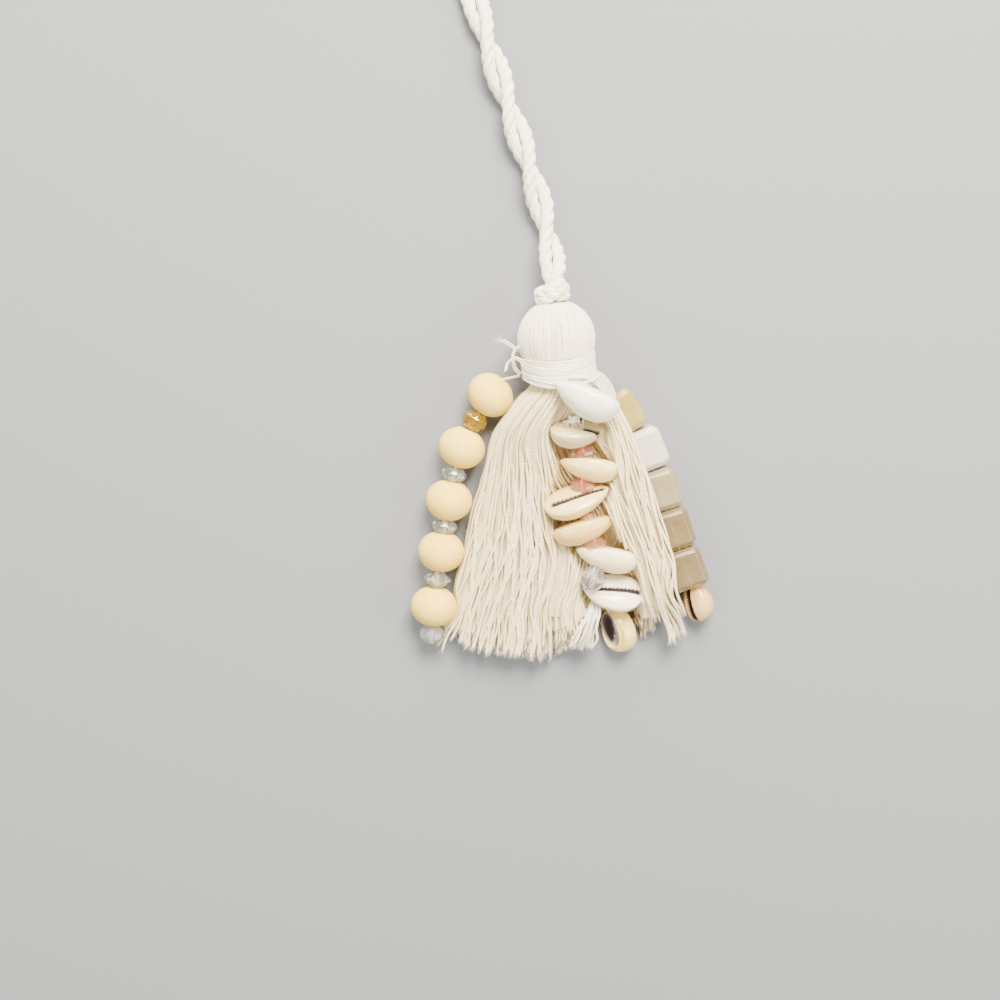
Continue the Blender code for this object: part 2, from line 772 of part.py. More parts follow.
def torus_mesh(name, ring_radius, strand_radius, steps):
    """A ring of round strand about Z."""
    angles = [math.radians(60 * i + 30) for i in range(6)]
    profile = [
        (ring_radius + strand_radius * math.sin(a), strand_radius * math.cos(a)) for a in angles
    ]
    return turned(name, profile, steps)


def build_knot():
    """The knot at the head's top: two crossed rounds of cord over a core."""
    centre = Matrix.Translation(point(*KNOT_CENTRE)) @ head_matrix().to_3x3().to_4x4()
    core = turned("cord_knot", KNOT_CORE_PROFILE, 12)
    shade(core)
    knot = add_part("cord_knot", core, "cord_cotton", centre)
    for index, (lift, tilt) in enumerate(((0.9, 8), (-0.9, -8))):
        lean = Matrix.Translation(point(0, 0, lift)) @ Matrix.Rotation(math.radians(tilt), 4, "Y")
        ring = torus_mesh(f"knot_round_{index}", KNOT_RING_RADIUS, KNOT_STRAND_RADIUS, 16)
        boolean(knot, add_helper(f"knot_round_{index}", ring, centre @ lean), "UNION")
    return knot


def eye_points():
    """One side of the cord's eye, as (along, aside): the leg swings out, then round to the tip, on two even bends."""
    reach = math.sqrt((2 * EYE_BEND) ** 2 - (LEG_OFFSET + EYE_BEND) ** 2)
    swing = math.asin(reach / (2 * EYE_BEND))
    outward = [
        (EYE_BEND * math.sin(a), LEG_OFFSET + EYE_BEND * (1 - math.cos(a)))
        for a in np.linspace(0, swing, 5)[1:]
    ]
    round_tip = [
        (reach + EYE_BEND * math.cos(a), EYE_BEND * math.sin(a))
        for a in np.linspace(math.pi / 2 + swing, 0, 11)[1:]
    ]
    return outward + round_tip


def cord_points():
    """The cord's middle line: out along one leg, round the eye, and back along the other."""
    line = smooth_path(CORD_ROUTE, 240)
    along = np.concatenate([[0], np.cumsum(np.linalg.norm(np.diff(line, axis=0), axis=1))])
    stop = FIRST_CROSSING + (CROSSINGS - 0.5) * HALF_TURN + UNWINDING / 2
    out, back = [], []
    for place in np.linspace(0.0, stop, 30):
        spot = np.array([np.interp(place, along, line[:, k]) for k in range(3)])
        ahead = np.array([np.interp(place + 1, along, line[:, k]) for k in range(3)])
        tangent = Vector(ahead - spot).normalized()
        aside = Vector((0, 0, 1)).cross(tangent).normalized()
        upward = tangent.cross(aside)
        left = stop - place
        wound = left - UNWINDING / 2 if left > UNWINDING else left**2 / (2 * UNWINDING)
        phase = -math.pi * wound / HALF_TURN
        offset = np.array(aside * math.cos(phase) + upward * math.sin(phase)) * LEG_OFFSET
        out.append(spot + offset)
        back.append(spot - offset)
    level = np.array(Vector((tangent.x, tangent.y, 0.0)).normalized())
    eye = [spot + level * ahead + np.array(aside) * side for ahead, side in eye_points()]
    mirrored = [spot + level * ahead - np.array(aside) * side for ahead, side in eye_points()[-2::-1]]
    return smooth_path([*out, *eye, *mirrored, *back[::-1]], CORD_RINGS)


def build_cord():
    points = cord_points()
    curve = wire_curve("hanging_cord", points, [LEG_RADIUS] * len(points), 2)
    return add_part("hanging_cord", curve, "cord_cotton")


# Loose ends

LOOSE_RADIUS = 0.45
LOOSE_TAIL = ((-14.9, 41.2, 13.0), (-16.6, 42.6, 13.6), (-18.6, 43.7, 14.2), (-20.4, 44.4, 14.8))
LOOSE_LOOP_UPPER = (
    (-13.9, 38.6, 14.6),
    (-14.6, 40.2, 15.4),
    (-15.8, 40.4, 15.6),
    (-16.9, 38.6, 15.2),
    (-17.0, 36.0, 14.2),
    (-16.2, 33.4, 13.0),
    (-14.6, 31.8, 12.4),
)
LOOSE_LOOP_LOWER = (
    (-13.6, 34.6, 17.0),
    (-14.8, 36.6, 17.8),
    (-16.8, 37.2, 17.9),
    (-18.6, 35.8, 17.6),
    (-19.4, 33.2, 17.2),
)
LOOSE_ENDS = (
    ("loose_tail", LOOSE_TAIL, 5),
    ("loose_loop_1", LOOSE_LOOP_UPPER, 12),
    ("loose_loop_2", LOOSE_LOOP_LOWER, 9),
)


def build_loose_ends():
    """The binding yarn's two loops and cut tail beside the neck."""
    for name, route, count in LOOSE_ENDS:
        points = smooth_path(route, count)
        add_part(name, wire_curve(name, points, [LOOSE_RADIUS] * count, 1), "cord_cotton")


# Small tassel

TUFT_ROOT = (8.6, -46.6, 10.4)
TUFT_ROOT_RADIUS = 1.9
TUFT_YARNS = 9
TUFT_RADIUS = 0.6
TUFT_LENGTH = 13.5


def build_tuft():
    """A little tassel of white yarn that the middle string ends in."""
    bm = bmesh.new()
    bmesh.ops.create_uvsphere(bm, u_segments=10, v_segments=6, radius=TUFT_ROOT_RADIUS * MM)
    mesh = mesh_from(bm, "small_tassel")
    shade(mesh)
    tuft = add_part("small_tassel", mesh, "cord_cotton", Matrix.Translation(point(*TUFT_ROOT)))
    yarns = []
    for i in range(TUFT_YARNS):
        share = (i + 0.5) / TUFT_YARNS * 2 - 1
        spread = np.array([share * 4.4 - 0.3, -TUFT_LENGTH, -2.6 - 0.8 * (i % 2)])
        root = np.array(TUFT_ROOT) + np.array([share * 1.1, 0.0, 0.5 * (i % 2) - 0.3])
        path = np.array([root + spread * t + (0, 0, 1.2 * t * (1 - t)) for t in (0.0, 0.3, 0.65, 1.0)])
        yarns.append((path, [TUFT_RADIUS * 0.5, TUFT_RADIUS * 0.8, TUFT_RADIUS, TUFT_RADIUS]))
    union = boolean(tuft, add_helper("tuft_yarns", bundle_mesh("tuft_yarns", yarns)), "UNION")
    union.use_self = True
    return tuft


def middle_bores():
    """The straight run of thread between one crystal of the middle string and the next."""
    ends = [ends_of(bead) for bead in MIDDLE_STRING]
    starts = [MIDDLE_THREAD_START, *(end[1] for end in ends)]
    stops = [*(end[0] for end in ends), MIDDLE_THREAD_END]
    return list(zip(starts, stops))


def dense(points):
    """Points every millimetre or so along a thread."""
    spots = []
    for a, b in zip(points[:-1], points[1:]):
        a, b = np.array(a), np.array(b)
        count = max(2, int(np.linalg.norm(b - a)))
        spots.extend(a + (b - a) * t for t in np.linspace(0, 1, count))
    return np.array(spots)


def main():
    floor = floor_cutter()
    for bead in (*LEFT_STRING, *MIDDLE_STRING, *RIGHT_STRING):
        build_bead(bead)

    left_thread = [(-14.6, 31.4, 10.8)]
    for bead in LEFT_STRING:
        left_thread.extend(ends_of(bead))
    right_thread = [(10.95, 30.4, 9.6)]
    for bead in RIGHT_STRING:
        right_thread.extend(ends_of(bead))
    side_shell = next(shell for shell in COWRIES if shell.name == "cowrie_side")
    right_thread.append((side_shell.x - 0.4, side_shell.y, side_shell.z + 0.4))

    runs = middle_bores()
    middle_thread = [place for run in runs for place in run]
    between = {
        "cowrie_1": 0,
        "cowrie_2": 0,
        "cowrie_3": 1,
        "cowrie_4": 2,
        "cowrie_5": 3,
        "cowrie_6": 4,
        "cowrie_7": 5,
    }
    for shell in COWRIES:
        bore = runs[between[shell.name]] if shell.name in between else None
        if shell is side_shell:
            bore = (right_thread[-2], right_thread[-1])
        build_cowrie(shell, floor, bore)

    build_thread("left_thread", left_thread)
    build_thread("middle_thread", middle_thread)
    build_thread("right_thread", right_thread, knot_at_end=False)
    threads = np.concatenate([dense(t) for t in (left_thread, middle_thread, right_thread)])
    build_head(threads, floor)
    build_wrap()
    build_knot()
    build_cord()
    build_loose_ends()
    build_tuft()


main()
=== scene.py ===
"""The looks of a cotton tassel that lies on its back: twisted cord, yarn-covered ball, bound neck, loose yarn skirt,
and strings of wooden, glass and cowrie-shell beads. Tables are in millimetres, in the tassel's own frame."""

import math
from collections import namedtuple

import bmesh
import bpy
import numpy as np
from mathutils import Matrix, Vector


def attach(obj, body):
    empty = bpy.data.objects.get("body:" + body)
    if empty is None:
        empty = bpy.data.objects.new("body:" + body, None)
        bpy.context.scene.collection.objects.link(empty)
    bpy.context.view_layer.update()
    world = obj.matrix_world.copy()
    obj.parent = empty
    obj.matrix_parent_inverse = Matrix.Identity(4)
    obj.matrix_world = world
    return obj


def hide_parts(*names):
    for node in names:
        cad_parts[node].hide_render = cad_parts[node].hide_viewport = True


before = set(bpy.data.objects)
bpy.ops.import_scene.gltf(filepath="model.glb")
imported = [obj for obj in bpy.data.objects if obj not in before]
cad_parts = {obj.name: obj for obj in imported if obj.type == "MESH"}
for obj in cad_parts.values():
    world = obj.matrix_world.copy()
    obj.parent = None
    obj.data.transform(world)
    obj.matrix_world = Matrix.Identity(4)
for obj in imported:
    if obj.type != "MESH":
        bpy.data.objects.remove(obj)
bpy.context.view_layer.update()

MM = 0.001
FOOTPRINT_CENTRE = np.array((-0.42, -1.16, 0.0))

# Camera, fitted to the photograph
IMAGE_WIDTH = 1000
CAMERA_AIM = (-20.8, -8.8, 7.0)
CAMERA_DISTANCE = 451.5
CAMERA_TILT = 10.0
CAMERA_LENS = 50.625

# Head and neck
HEAD_CENTRE = np.array((-3.3, 43.0, 12.0))
HEAD_LEAN = 5.5
BALL_RADIUS = 11.8
BALL_YARNS = 190
BALL_YARN_RADIUS = 0.3
BALL_TOP = 24.0
BALL_FOOT = 123.0
NECK_RADIUS = 10.9
BINDING_RADIUS = 0.24

# Skirt yarn
YARN_LENGTH = 97.0
YARN_COUNT = 640
YARN_RADIUS_ROOT = 0.38
YARN_RADIUS_HEM = 0.47
YARN_RINGS = 60
ROOT_CENTRE = (-1.5, 12.0)
ROOT_RADIUS = 9.9
ROOT_Y = 33.0
NECK_EXIT_Y = 28.0
VALLEY_DEPTH = 6.2
CREST_BLEND = 8.0
CLUMPS = 75
SHARPEST_TURN = 33.0
BED_DEPTH = 1.8
BED_RIBS = 150

# Hanging cord
LEG_RADIUS = 2.1
LEG_OFFSET = 2.12
HALF_TURN = 19.3
HALF_TURN_SHOWN = 19.9
FIRST_CROSSING = -2.0
CROSSINGS = 5
UNWINDING = 12.0
EYE_BEND = 10.2
CORD_RINGS = 84
PLY_LAY = 12.0

# Beads
THREAD_RADIUS = 0.45
BORE_RADIUS = 1.0
WOOD_RADIUS = 7.5
WOOD_HALF_LENGTH = 6.3
WOOD_REST = WOOD_RADIUS * math.cos(math.pi / 14)
CUBE_SIZE = 12.3
CUBE_LENGTH = 13.2
CUBE_BEVEL = 1.7
CLEARANCE = 0.15

Section = namedtuple(
    "Section",
    "y neck left left_crest valley valley_top valley_half right_crest right perch perch_top",
)
SKIRT_SECTIONS = (
    Section(24.4, 0.5, -15.8, 21.5, 6.9, 18.2, 10.5, 20.0, 16.0, 7.6, 12.6),
    Section(13.4, 0.1, -23.2, 18.4, 3.2, 10.6, 9.4, 19.0, 22.0, 7.8, 13.0),
    Section(2.2, 0.0, -26.2, 15.6, 6.4, 8.4, 9.2, 18.8, 26.2, 14.8, 13.0),
    Section(-8.4, 0.0, -29.0, 14.2, 3.8, 7.2, 9.6, 18.4, 29.6, 19.8, 13.0),
    Section(-17.7, 0.0, -31.4, 13.2, 6.2, 6.5, 9.8, 18.4, 33.4, 24.4, 13.0),
    Section(-27.2, 0.0, -33.4, 12.4, 12.4, 6.0, 9.6, 18.0, 36.6, 28.6, 13.0),
    Section(-39.2, 0.0, -36.6, 11.6, 15.0, 3.2, 9.8, 16.6, 38.8, 32.6, 13.0),
    Section(-51.8, 0.0, -40.6, 10.4, 17.4, -3.0, 7.6, 11.0, 41.4, 36.0, 0.0),
    Section(-70.0, 0.0, -48.0, 8.6, 18.0, -3.0, 7.6, 9.2, 44.6, 38.0, 0.0),
)

Bead = namedtuple("Bead", "name kind x y z heading glass")
LEFT_STRING = (
    Bead("wood_bead_1", "wood", -23.8, 25.0, WOOD_REST, 38, None),
    Bead("amber_crystal", "round", -28.9, 16.9, 7.5, 28, "amber"),
    Bead("wood_bead_2", "wood", -33.0, 8.2, WOOD_REST, 20, None),
    Bead("clear_crystal_1", "flat", -35.5, -0.3, 7.5, 14, "clear"),
    Bead("wood_bead_3", "wood", -37.2, -8.8, WOOD_REST, 10, None),
    Bead("clear_crystal_2", "flat", -38.6, -17.2, 7.5, 9, "clear"),
    Bead("wood_bead_4", "wood", -39.8, -25.6, WOOD_REST, 8, None),
    Bead("bicone_crystal", "bicone", -41.1, -34.7, 7.5, 8, "clear"),
    Bead("wood_bead_5", "wood", -42.3, -43.8, WOOD_REST, 6, None),
    Bead("end_crystal", "round", -43.1, -53.3, 6.4, 5, "frosted"),
)
MIDDLE_STRING = (
    Bead("pink_crystal_1", "between", 4.9, 7.6, 14.6, -6, "pink"),
    Bead("pink_crystal_2", "between", 5.6, -3.2, 12.9, 2, "pink"),
    Bead("pale_crystal", "small", 7.0, -12.9, 15.2, -4, "peach"),
    Bead("peach_crystal", "between", 9.4, -22.6, 12.6, -6, "peach"),
    Bead("large_crystal", "large", 8.9, -32.8, 14.6, 8, "clear"),
)
RIGHT_STRING = (
    Bead("cube_bead_1", "cube", 17.6, 19.4, 6.15, -30, "cream"),
    Bead("cube_bead_2", "cube", 25.4, 7.8, 6.15, -23, "opal"),
    Bead("cube_bead_3", "cube", 30.2, -5.2, 6.15, -19, "blush"),
    Bead("cube_bead_4", "cube", 34.6, -18.0, 6.15, -19, "champagne"),
    Bead("cube_bead_5", "cube", 39.0, -30.8, 6.15, -20, "champagne"),
)

Crystal = namedtuple("Crystal", "radius half_length girdle table facets")
CRYSTALS = {
    "round": Crystal(4.0, 2.75, 0.9, 0.62, 10),
    "large": Crystal(4.2, 3.5, 0.5, 0.5, 9),
    "flat": Crystal(4.0, 2.1, 0.55, 0.6, 10),
    "between": Crystal(4.1, 2.7, 0.5, 0.55, 9),
    "small": Crystal(2.2, 1.3, 0.3, 0.6, 8),
    "bicone": Crystal(4.6, 2.7, 0.12, 0.36, 8),
}

Cowrie = namedtuple("Cowrie", "name x y z length width height turn roll tint")
COWRIES = (
    Cowrie("cowrie_1", 5.2, 24.6, 25.2, 21.0, 13.0, 9.4, -22, 100, (0.96, 0.93, 0.82)),
    # cowrie_2's tint is partly the shell's own colour and partly painted shade, for the shade it lies in low between
    # the yarns.
    Cowrie("cowrie_2", 3.2, 13.4, 17.0, 17.0, 12.0, 7.6, 180, -72, (0.64, 0.53, 0.30)),
    Cowrie("cowrie_3", 7.3, 2.2, 14.8, 19.2, 12.4, 7.2, -7, 108, (0.94, 0.75, 0.32)),
    Cowrie("cowrie_4", 3.8, -8.4, 13.6, 21.2, 13.0, 7.6, 198, -60, (0.84, 0.62, 0.26)),
    Cowrie("cowrie_5", 6.6, -17.7, 13.0, 21.2, 12.6, 7.4, 196, -104, (0.80, 0.56, 0.19)),
    Cowrie("cowrie_6", 13.4, -27.2, 12.6, 20.4, 12.6, 7.8, -9, 108, (0.96, 0.87, 0.57)),
    Cowrie("cowrie_7", 15.4, -39.2, 9.4, 19.4, 12.6, 8.4, -8, 38, (0.90, 0.82, 0.67)),
    Cowrie("cowrie_cut", 17.2, -51.8, 4.75, 17.5, 11.5, 8.6, -74, 140, (0.84, 0.63, 0.20)),
    Cowrie("cowrie_side", 44.3, -42.3, 4.75, 13.4, 10.6, 8.6, -78, -52, (0.71, 0.44, 0.18)),
)

Route = namedtuple("Route", "x y z")
CORD_ROUTE = (
    Route(-4.2, 62.6, 11.6),
    Route(-4.6, 68.0, 9.3),
    Route(-5.6, 74.0, 6.4),
    Route(-7.4, 81.0, 4.85),
    Route(-9.4, 88.0, 4.75),
    Route(-12.6, 98.0, 4.75),
    Route(-16.4, 109.0, 4.75),
    Route(-20.6, 121.0, 4.75),
    Route(-24.6, 133.0, 4.75),
    Route(-27.2, 141.0, 4.3),
    Route(-30.0, 150.0, 2.4),
    Route(-33.2, 160.0, 2.25),
)


# Arithmetic on sockets


class Term:
    """A shader socket that takes part in plain arithmetic. Each operator adds a Math node."""

    def __init__(self, finish, socket):
        self.finish = finish
        self.socket = socket

    def math(self, operation, *others, clamp=False):
        values = {i: value for i, value in enumerate((self, *others))}
        settings = {"operation": operation, "use_clamp": clamp}
        return self.finish.node("ShaderNodeMath", settings, values)

    def __add__(self, other):
        return self.math("ADD", other)

    __radd__ = __add__

    def __mul__(self, other):
        return self.math("MULTIPLY", other)

    __rmul__ = __mul__

    def __sub__(self, other):
        return self.math("SUBTRACT", other)

    def __rsub__(self, other):
        return (self * -1) + other

    def __truediv__(self, other):
        return self.math("DIVIDE", other)

    def __pow__(self, other):
        return self.math("POWER", other)

    def sine(self):
        return self.math("SINE")

    def size(self):
        return self.math("ABSOLUTE")

    def clamped(self):
        return self.math("ADD", 0.0, clamp=True)


class Finish:
    """A material, its Principled shader, and one way to add any other node."""

    def __init__(self, name, **constants):
        self.material = bpy.data.materials.new(name)
        self.material.use_nodes = True
        self.tree = self.material.node_tree
        self.shader = self.tree.nodes["Principled BSDF"]
        self.set(**constants)

    def set(self, **sockets):
        """Values or terms for the shader's sockets, named in lower case with underscores."""
        for name, value in sockets.items():
            self.feed(self.shader.inputs[name.replace("_", " ").title().replace("Ior", "IOR")], value)

    def feed(self, socket, value):
        if isinstance(value, Term):
            self.tree.links.new(value.socket, socket)
        elif hasattr(socket.default_value, "__len__") and len(value) < len(socket.default_value):
            socket.default_value = (*value, 1.0)
        else:
            socket.default_value = value

    def node(self, kind, settings=None, inputs=None, output=0):
        """Adds a node from its type, its settings, and the values or terms of its sockets."""
        node = self.tree.nodes.new(kind)
        for name, value in (settings or {}).items():
            if name == "stops":
                self.set_stops(node.color_ramp, value)
            else:
                setattr(node, name, value)
        for name, value in (inputs or {}).items():
            self.feed(node.inputs[name], value)
        return Term(self, node.outputs[output])

    def set_stops(self, ramp, stops):
        for i, (place, colour) in enumerate(stops):
            stop = ramp.elements[i] if i < 2 else ramp.elements.new(place)
            stop.position = place
            stop.color = (*colour, 1.0)

    def mix(self, factor, first, second):
        """Two colours mixed by a factor."""
        inputs = {0: factor, 6: first, 7: second}
        return self.node("ShaderNodeMix", {"data_type": "RGBA"}, inputs, 2)

    def place(self, scale=1.0, stretch=(1.0, 1.0, 1.0)):
        """The point on the piece, in units of millimetres over scale."""
        spot = self.node("ShaderNodeTexCoord", output=3)
        factor = tuple(s * scale / MM for s in stretch)
        return self.node("ShaderNodeVectorMath", {"operation": "MULTIPLY"}, {0: spot, 1: factor})

    def noise(self, scale, detail=2.0, stretch=(1.0, 1.0, 1.0), roughness=0.5):
        inputs = {"Vector": self.place(scale, stretch), "Scale": 1.0, "Detail": detail}
        return self.node("ShaderNodeTexNoise", None, {**inputs, "Roughness": roughness})

    def trait(self, name):
        """A number that the mesh holds at each point."""
        settings = {"attribute_type": "GEOMETRY", "attribute_name": name}
        return self.node("ShaderNodeAttribute", settings, output=2)

    def bump(self, height, depth, strength=1.0):
        """Height from 0 to 1 raised by a depth in millimetres."""
        inputs = {"Height": height, "Distance": depth * MM, "Strength": strength}
        return self.node("ShaderNodeBump", None, inputs)


# Meshes


def in_frame(points):
    """Millimetres in the tables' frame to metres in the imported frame."""
    return (np.asarray(points, float) - FOOTPRINT_CENTRE) * MM


def finish_piece(obj, finish, nodes=()):
    obj.data.materials.clear()
    obj.data.materials.append(finish.material)
    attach(obj, "root")
    if nodes:
        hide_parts(*nodes)
    return obj


def new_piece(name, mesh, matrix=None):
    obj = bpy.data.objects.new(name, mesh)
    bpy.context.scene.collection.objects.link(obj)
    if matrix is not None:
        obj.matrix_world = matrix
    return obj


def unit(vectors):
    return vectors / np.maximum(np.linalg.norm(vectors, axis=-1, keepdims=True), 1e-9)


def hermite(knots, values, where):
    """A smooth curve through values at rising knots, read at the given places."""
    knots, values = np.array(knots, float), np.array(values, float)
    slopes = np.gradient(values, knots)
    i = np.clip(np.searchsorted(knots, where) - 1, 0, len(knots) - 2)
    step = knots[i + 1] - knots[i]
    t = (where - knots[i]) / step
    rise = values[i + 1] - values[i]
    bend = (1 - t) * (slopes[i] * step - rise) - t * (slopes[i + 1] * step - rise)
    return values[i] + t * rise + t * (1 - t) * bend


def lengths_along(points):
    return np.concatenate([[0], np.cumsum(np.linalg.norm(np.diff(points, axis=0), axis=1))])


def even_steps(points, count):
    """The same line with points at even steps."""
    along = lengths_along(points)
    steps = np.linspace(0, along[-1], count)
    return np.stack([np.interp(steps, along, points[:, k]) for k in range(3)], axis=1)


def smooth_path(points, count):
    """Points at even steps on a smooth curve through the given ones."""
    points = np.array(points, float)
    knots = lengths_along(points)
    fine = np.linspace(0, knots[-1], 40 * len(points))
    dense = np.stack([hermite(knots, points[:, k], fine) for k in range(3)], axis=1)
    return even_steps(dense, count)


def carried_frame(path):
    """Two directions across a path at each point, carried along it without twist."""
    tangents = unit(np.gradient(path, axis=0))
    first = np.cross(tangents[0], (0.0, 0.0, 1.0))
    if np.linalg.norm(first) < 0.1:
        first = np.cross(tangents[0], (1.0, 0.0, 0.0))
    across = np.empty_like(path)
    across[0] = unit(first)
    for i in range(1, len(path)):
        side = across[i - 1] - tangents[i] * np.dot(across[i - 1], tangents[i])
        across[i] = side / max(np.linalg.norm(side), 1e-9)
    return across, np.cross(tangents, across)


class Skein:
    """Gathers many tubes of yarn or thread into one mesh, with traits for the finish to read."""

    def __init__(self):
        self.points, self.faces, self.caps = [], [], []
        self.traits = {"tone": [], "along": [], "facing": [], "beside": []}
        self.count = 0

    def add(self, path, radii, sides=6, tone=0.5):
        """A tube along a path in millimetres."""
        path = np.asarray(path, float)
        radii = np.broadcast_to(np.asarray(radii, float), len(path))
        across, over = carried_frame(path)
        angles = np.arange(sides) * 2 * math.pi / sides
        rim = across[:, None] * np.cos(angles)[None, :, None] + over[:, None] * np.sin(angles)[None, :, None]
        n = len(path)
        i, j = np.meshgrid(np.arange(n - 1), np.arange(sides), indexing="ij")
        k = (j + 1) % sides
        quads = np.stack([i * sides + j, i * sides + k, (i + 1) * sides + k, (i + 1) * sides + j], axis=-1)
        self.points.append((path[:, None] + rim * radii[:, None, None]).reshape(-1, 3))
        self.faces.append(quads.reshape(-1, 4) + self.count)
        self.caps.append((np.arange(sides)[::-1] + self.count).tolist())
        self.caps.append((np.arange(sides) + self.count + (n - 1) * sides).tolist())
        self.traits["tone"].append(np.repeat(np.broadcast_to(tone, n), sides))
        self.traits["along"].append(np.repeat(lengths_along(path), sides))
        self.traits["facing"].append(np.tile(np.cos(angles), n))
        self.traits["beside"].append(np.tile(np.sin(angles), n))
        self.count += n * sides

    def mesh(self, name):
        points = np.concatenate(self.points)
        points[:, 2] = np.maximum(points[:, 2], 0.0)
        mesh = bpy.data.meshes.new(name)
        mesh.from_pydata(in_frame(points).tolist(), [], np.concatenate(self.faces).tolist() + self.caps)
        for trait, values in self.traits.items():
            attribute = mesh.attributes.new(trait, "FLOAT", "POINT")
            attribute.data.foreach_set("value", np.concatenate(values).astype(np.float32))
        mesh.shade_smooth()
        mesh.update()
        return mesh


# Finishes


def yarn_finish(name, light, dark, lay=2.4, depth=0.16, fuzz=0.3):
    """Soft spun cotton: a ply that winds round each yarn, fine fibres, and yarns that differ a little."""
    finish = Finish(name, roughness=0.92, sheen_weight=fuzz, sheen_roughness=0.6, specular_ior_level=0.12)
    tone = finish.trait("tone")
    turn = finish.trait("along") * (2 * math.pi / lay)
    winding = turn.sine() * finish.trait("facing") + (turn + math.pi / 2).sine() * finish.trait("beside")
    groove = (winding * winding * winding * winding).clamped()
    fibre = finish.noise(1.0, detail=4.0, roughness=0.62)
    cloud = finish.noise(0.06, detail=2.0)
    # Painted shade: the colour darkens in the grooves between the ply's turns, and the same grooves also set the
    # bump.
    shade = (tone * 0.5 + fibre * 0.95 + cloud * 0.45 - groove * 0.3 - 0.26).clamped()
    finish.set(base_color=finish.mix(shade, dark, light))
    finish.set(normal=finish.bump(fibre * 0.7 - groove * 0.8, depth))
    return finish


def wood_finish():
    finish = Finish("pale_wood", roughness=0.6, specular_ior_level=0.3)
    streaks = finish.noise(0.9, detail=3.0, stretch=(1.0, 1.0, 0.1))
    pores = finish.noise(3.6, detail=2.0, stretch=(1.0, 1.0, 0.25))
    cloud = finish.noise(0.1, detail=1.5)
    pale = finish.mix((streaks * 1.2 - 0.1).clamped(), (0.80, 0.51, 0.07), (0.90, 0.63, 0.10))
    finish.set(base_color=finish.mix((cloud * 1.6 - 0.5).clamped(), pale, (0.94, 0.72, 0.20)))
    finish.set(roughness=streaks * 0.2 + 0.46)
    finish.set(normal=finish.bump(streaks * 0.5 + pores * 0.5, 0.03))
    return finish


def glass_finish(name, tint, deep, clear=0.85, roughness=0.04):
    """Cut glass, with a little colour that gathers in cloudy places."""
    finish = Finish(name, ior=1.52, transmission_weight=clear, coat_weight=0.6, coat_roughness=0.03)
    cloud = finish.noise(0.22, detail=2.0)
    finish.set(base_color=finish.mix((cloud * 1.4 - 0.3).clamped(), deep, tint))
    finish.set(roughness=cloud * 0.05 + roughness)
    return finish


def shell_finish(name, tint):
    """Glossy shell: paler lips, a warmer back, and painted shade down in the slit."""
    finish = Finish(name, ior=1.5, coat_weight=0.5, coat_roughness=0.08, subsurface_weight=0.1)
    finish.set(subsurface_radius=(0.002, 0.0012, 0.0008), subsurface_scale=1.0)
    cloud = finish.noise(0.24, detail=3.0)
    growth = finish.noise(0.7, detail=2.0, stretch=(0.5, 1.0, 1.0))
    warm = tuple(c * f for c, f in zip(tint, (0.94, 0.86, 0.72)))
    amount = (finish.trait("back") * 0.5 + cloud * 0.6 + growth * 0.3 - 0.42).clamped()
    colour = finish.mix(amount, tint, warm)
    colour = finish.mix(finish.trait("hollow"), colour, (0.50, 0.43, 0.50))
    colour = finish.mix(finish.trait("shadow"), colour, (0.022, 0.013, 0.01))
    # Painted shade: near black down in the slit and in the gaps between the teeth.
    colour = finish.mix(finish.trait("groove"), colour, (0.02, 0.012, 0.01))
    finish.set(base_color=colour)
    finish.set(roughness=cloud * 0.18 + 0.14 + finish.trait("groove") * 0.5)
    finish.set(coat_weight=(finish.trait("groove") * -0.5 + 0.5).clamped())
    finish.set(normal=finish.bump(growth, 0.04))
    return finish


COTTON = yarn_finish("skirt_cotton", (0.98, 0.86, 0.54), (0.68, 0.52, 0.28), depth=0.22)
BRIGHT_COTTON = yarn_finish("ball_cotton", (0.97, 0.88, 0.70), (0.74, 0.62, 0.44), lay=1.8, depth=0.1)
WHITE_COTTON = yarn_finish("binding_cotton", (0.97, 0.92, 0.80), (0.76, 0.68, 0.53), lay=1.4, depth=0.1)
CORD_COTTON = yarn_finish("cord_cotton", (0.97, 0.90, 0.76), (0.70, 0.60, 0.45), lay=6.0, depth=0.12, fuzz=0.6)
WOOD = wood_finish()
GLASS = {
    "amber": glass_finish("amber_glass", (0.86, 0.58, 0.01), (0.48, 0.29, 0.005)),
    "clear": glass_finish("clear_glass", (0.97, 0.97, 0.96), (0.80, 0.82, 0.84), clear=0.92),
    "frosted": glass_finish("frosted_glass", (0.90, 0.90, 0.88), (0.72, 0.73, 0.72), clear=0.8, roughness=0.22),
    "pink": glass_finish("pink_glass", (0.98, 0.58, 0.44), (0.86, 0.34, 0.24)),
    "peach": glass_finish("peach_glass", (0.98, 0.62, 0.42), (0.88, 0.40, 0.24)),
    "cream": glass_finish("cream_glass", (0.70, 0.55, 0.18), (0.50, 0.37, 0.09), clear=0.4, roughness=0.1),
    "opal": glass_finish("opal_glass", (0.86, 0.81, 0.71), (0.70, 0.64, 0.53), clear=0.25, roughness=0.12),
    "blush": glass_finish("blush_glass", (0.58, 0.48, 0.30), (0.41, 0.32, 0.18), clear=0.45, roughness=0.08),
    "champagne": glass_finish(
        "champagne_glass", (0.42, 0.31, 0.16), (0.26, 0.185, 0.085), clear=0.5, roughness=0.06
    ),
}


# Where things are


def head_matrix():
    """Local Z is the head's axis, from the neck to the knot."""
    lean = Matrix.Rotation(math.radians(HEAD_LEAN), 4, "Z")
    lay = Matrix.Rotation(math.radians(-90), 4, "X")
    return Matrix.Translation(HEAD_CENTRE) @ lean @ lay


HEAD_TURN = np.array(head_matrix())


def on_head(points):
    """Points in the head's own frame, in millimetres, to the tables' frame."""
    return np.asarray(points, float) @ HEAD_TURN[:3, :3].T + HEAD_TURN[:3, 3]


def heading_axis(heading):
    angle = math.radians(heading)
    return Vector((-math.sin(angle), -math.cos(angle), 0.0))


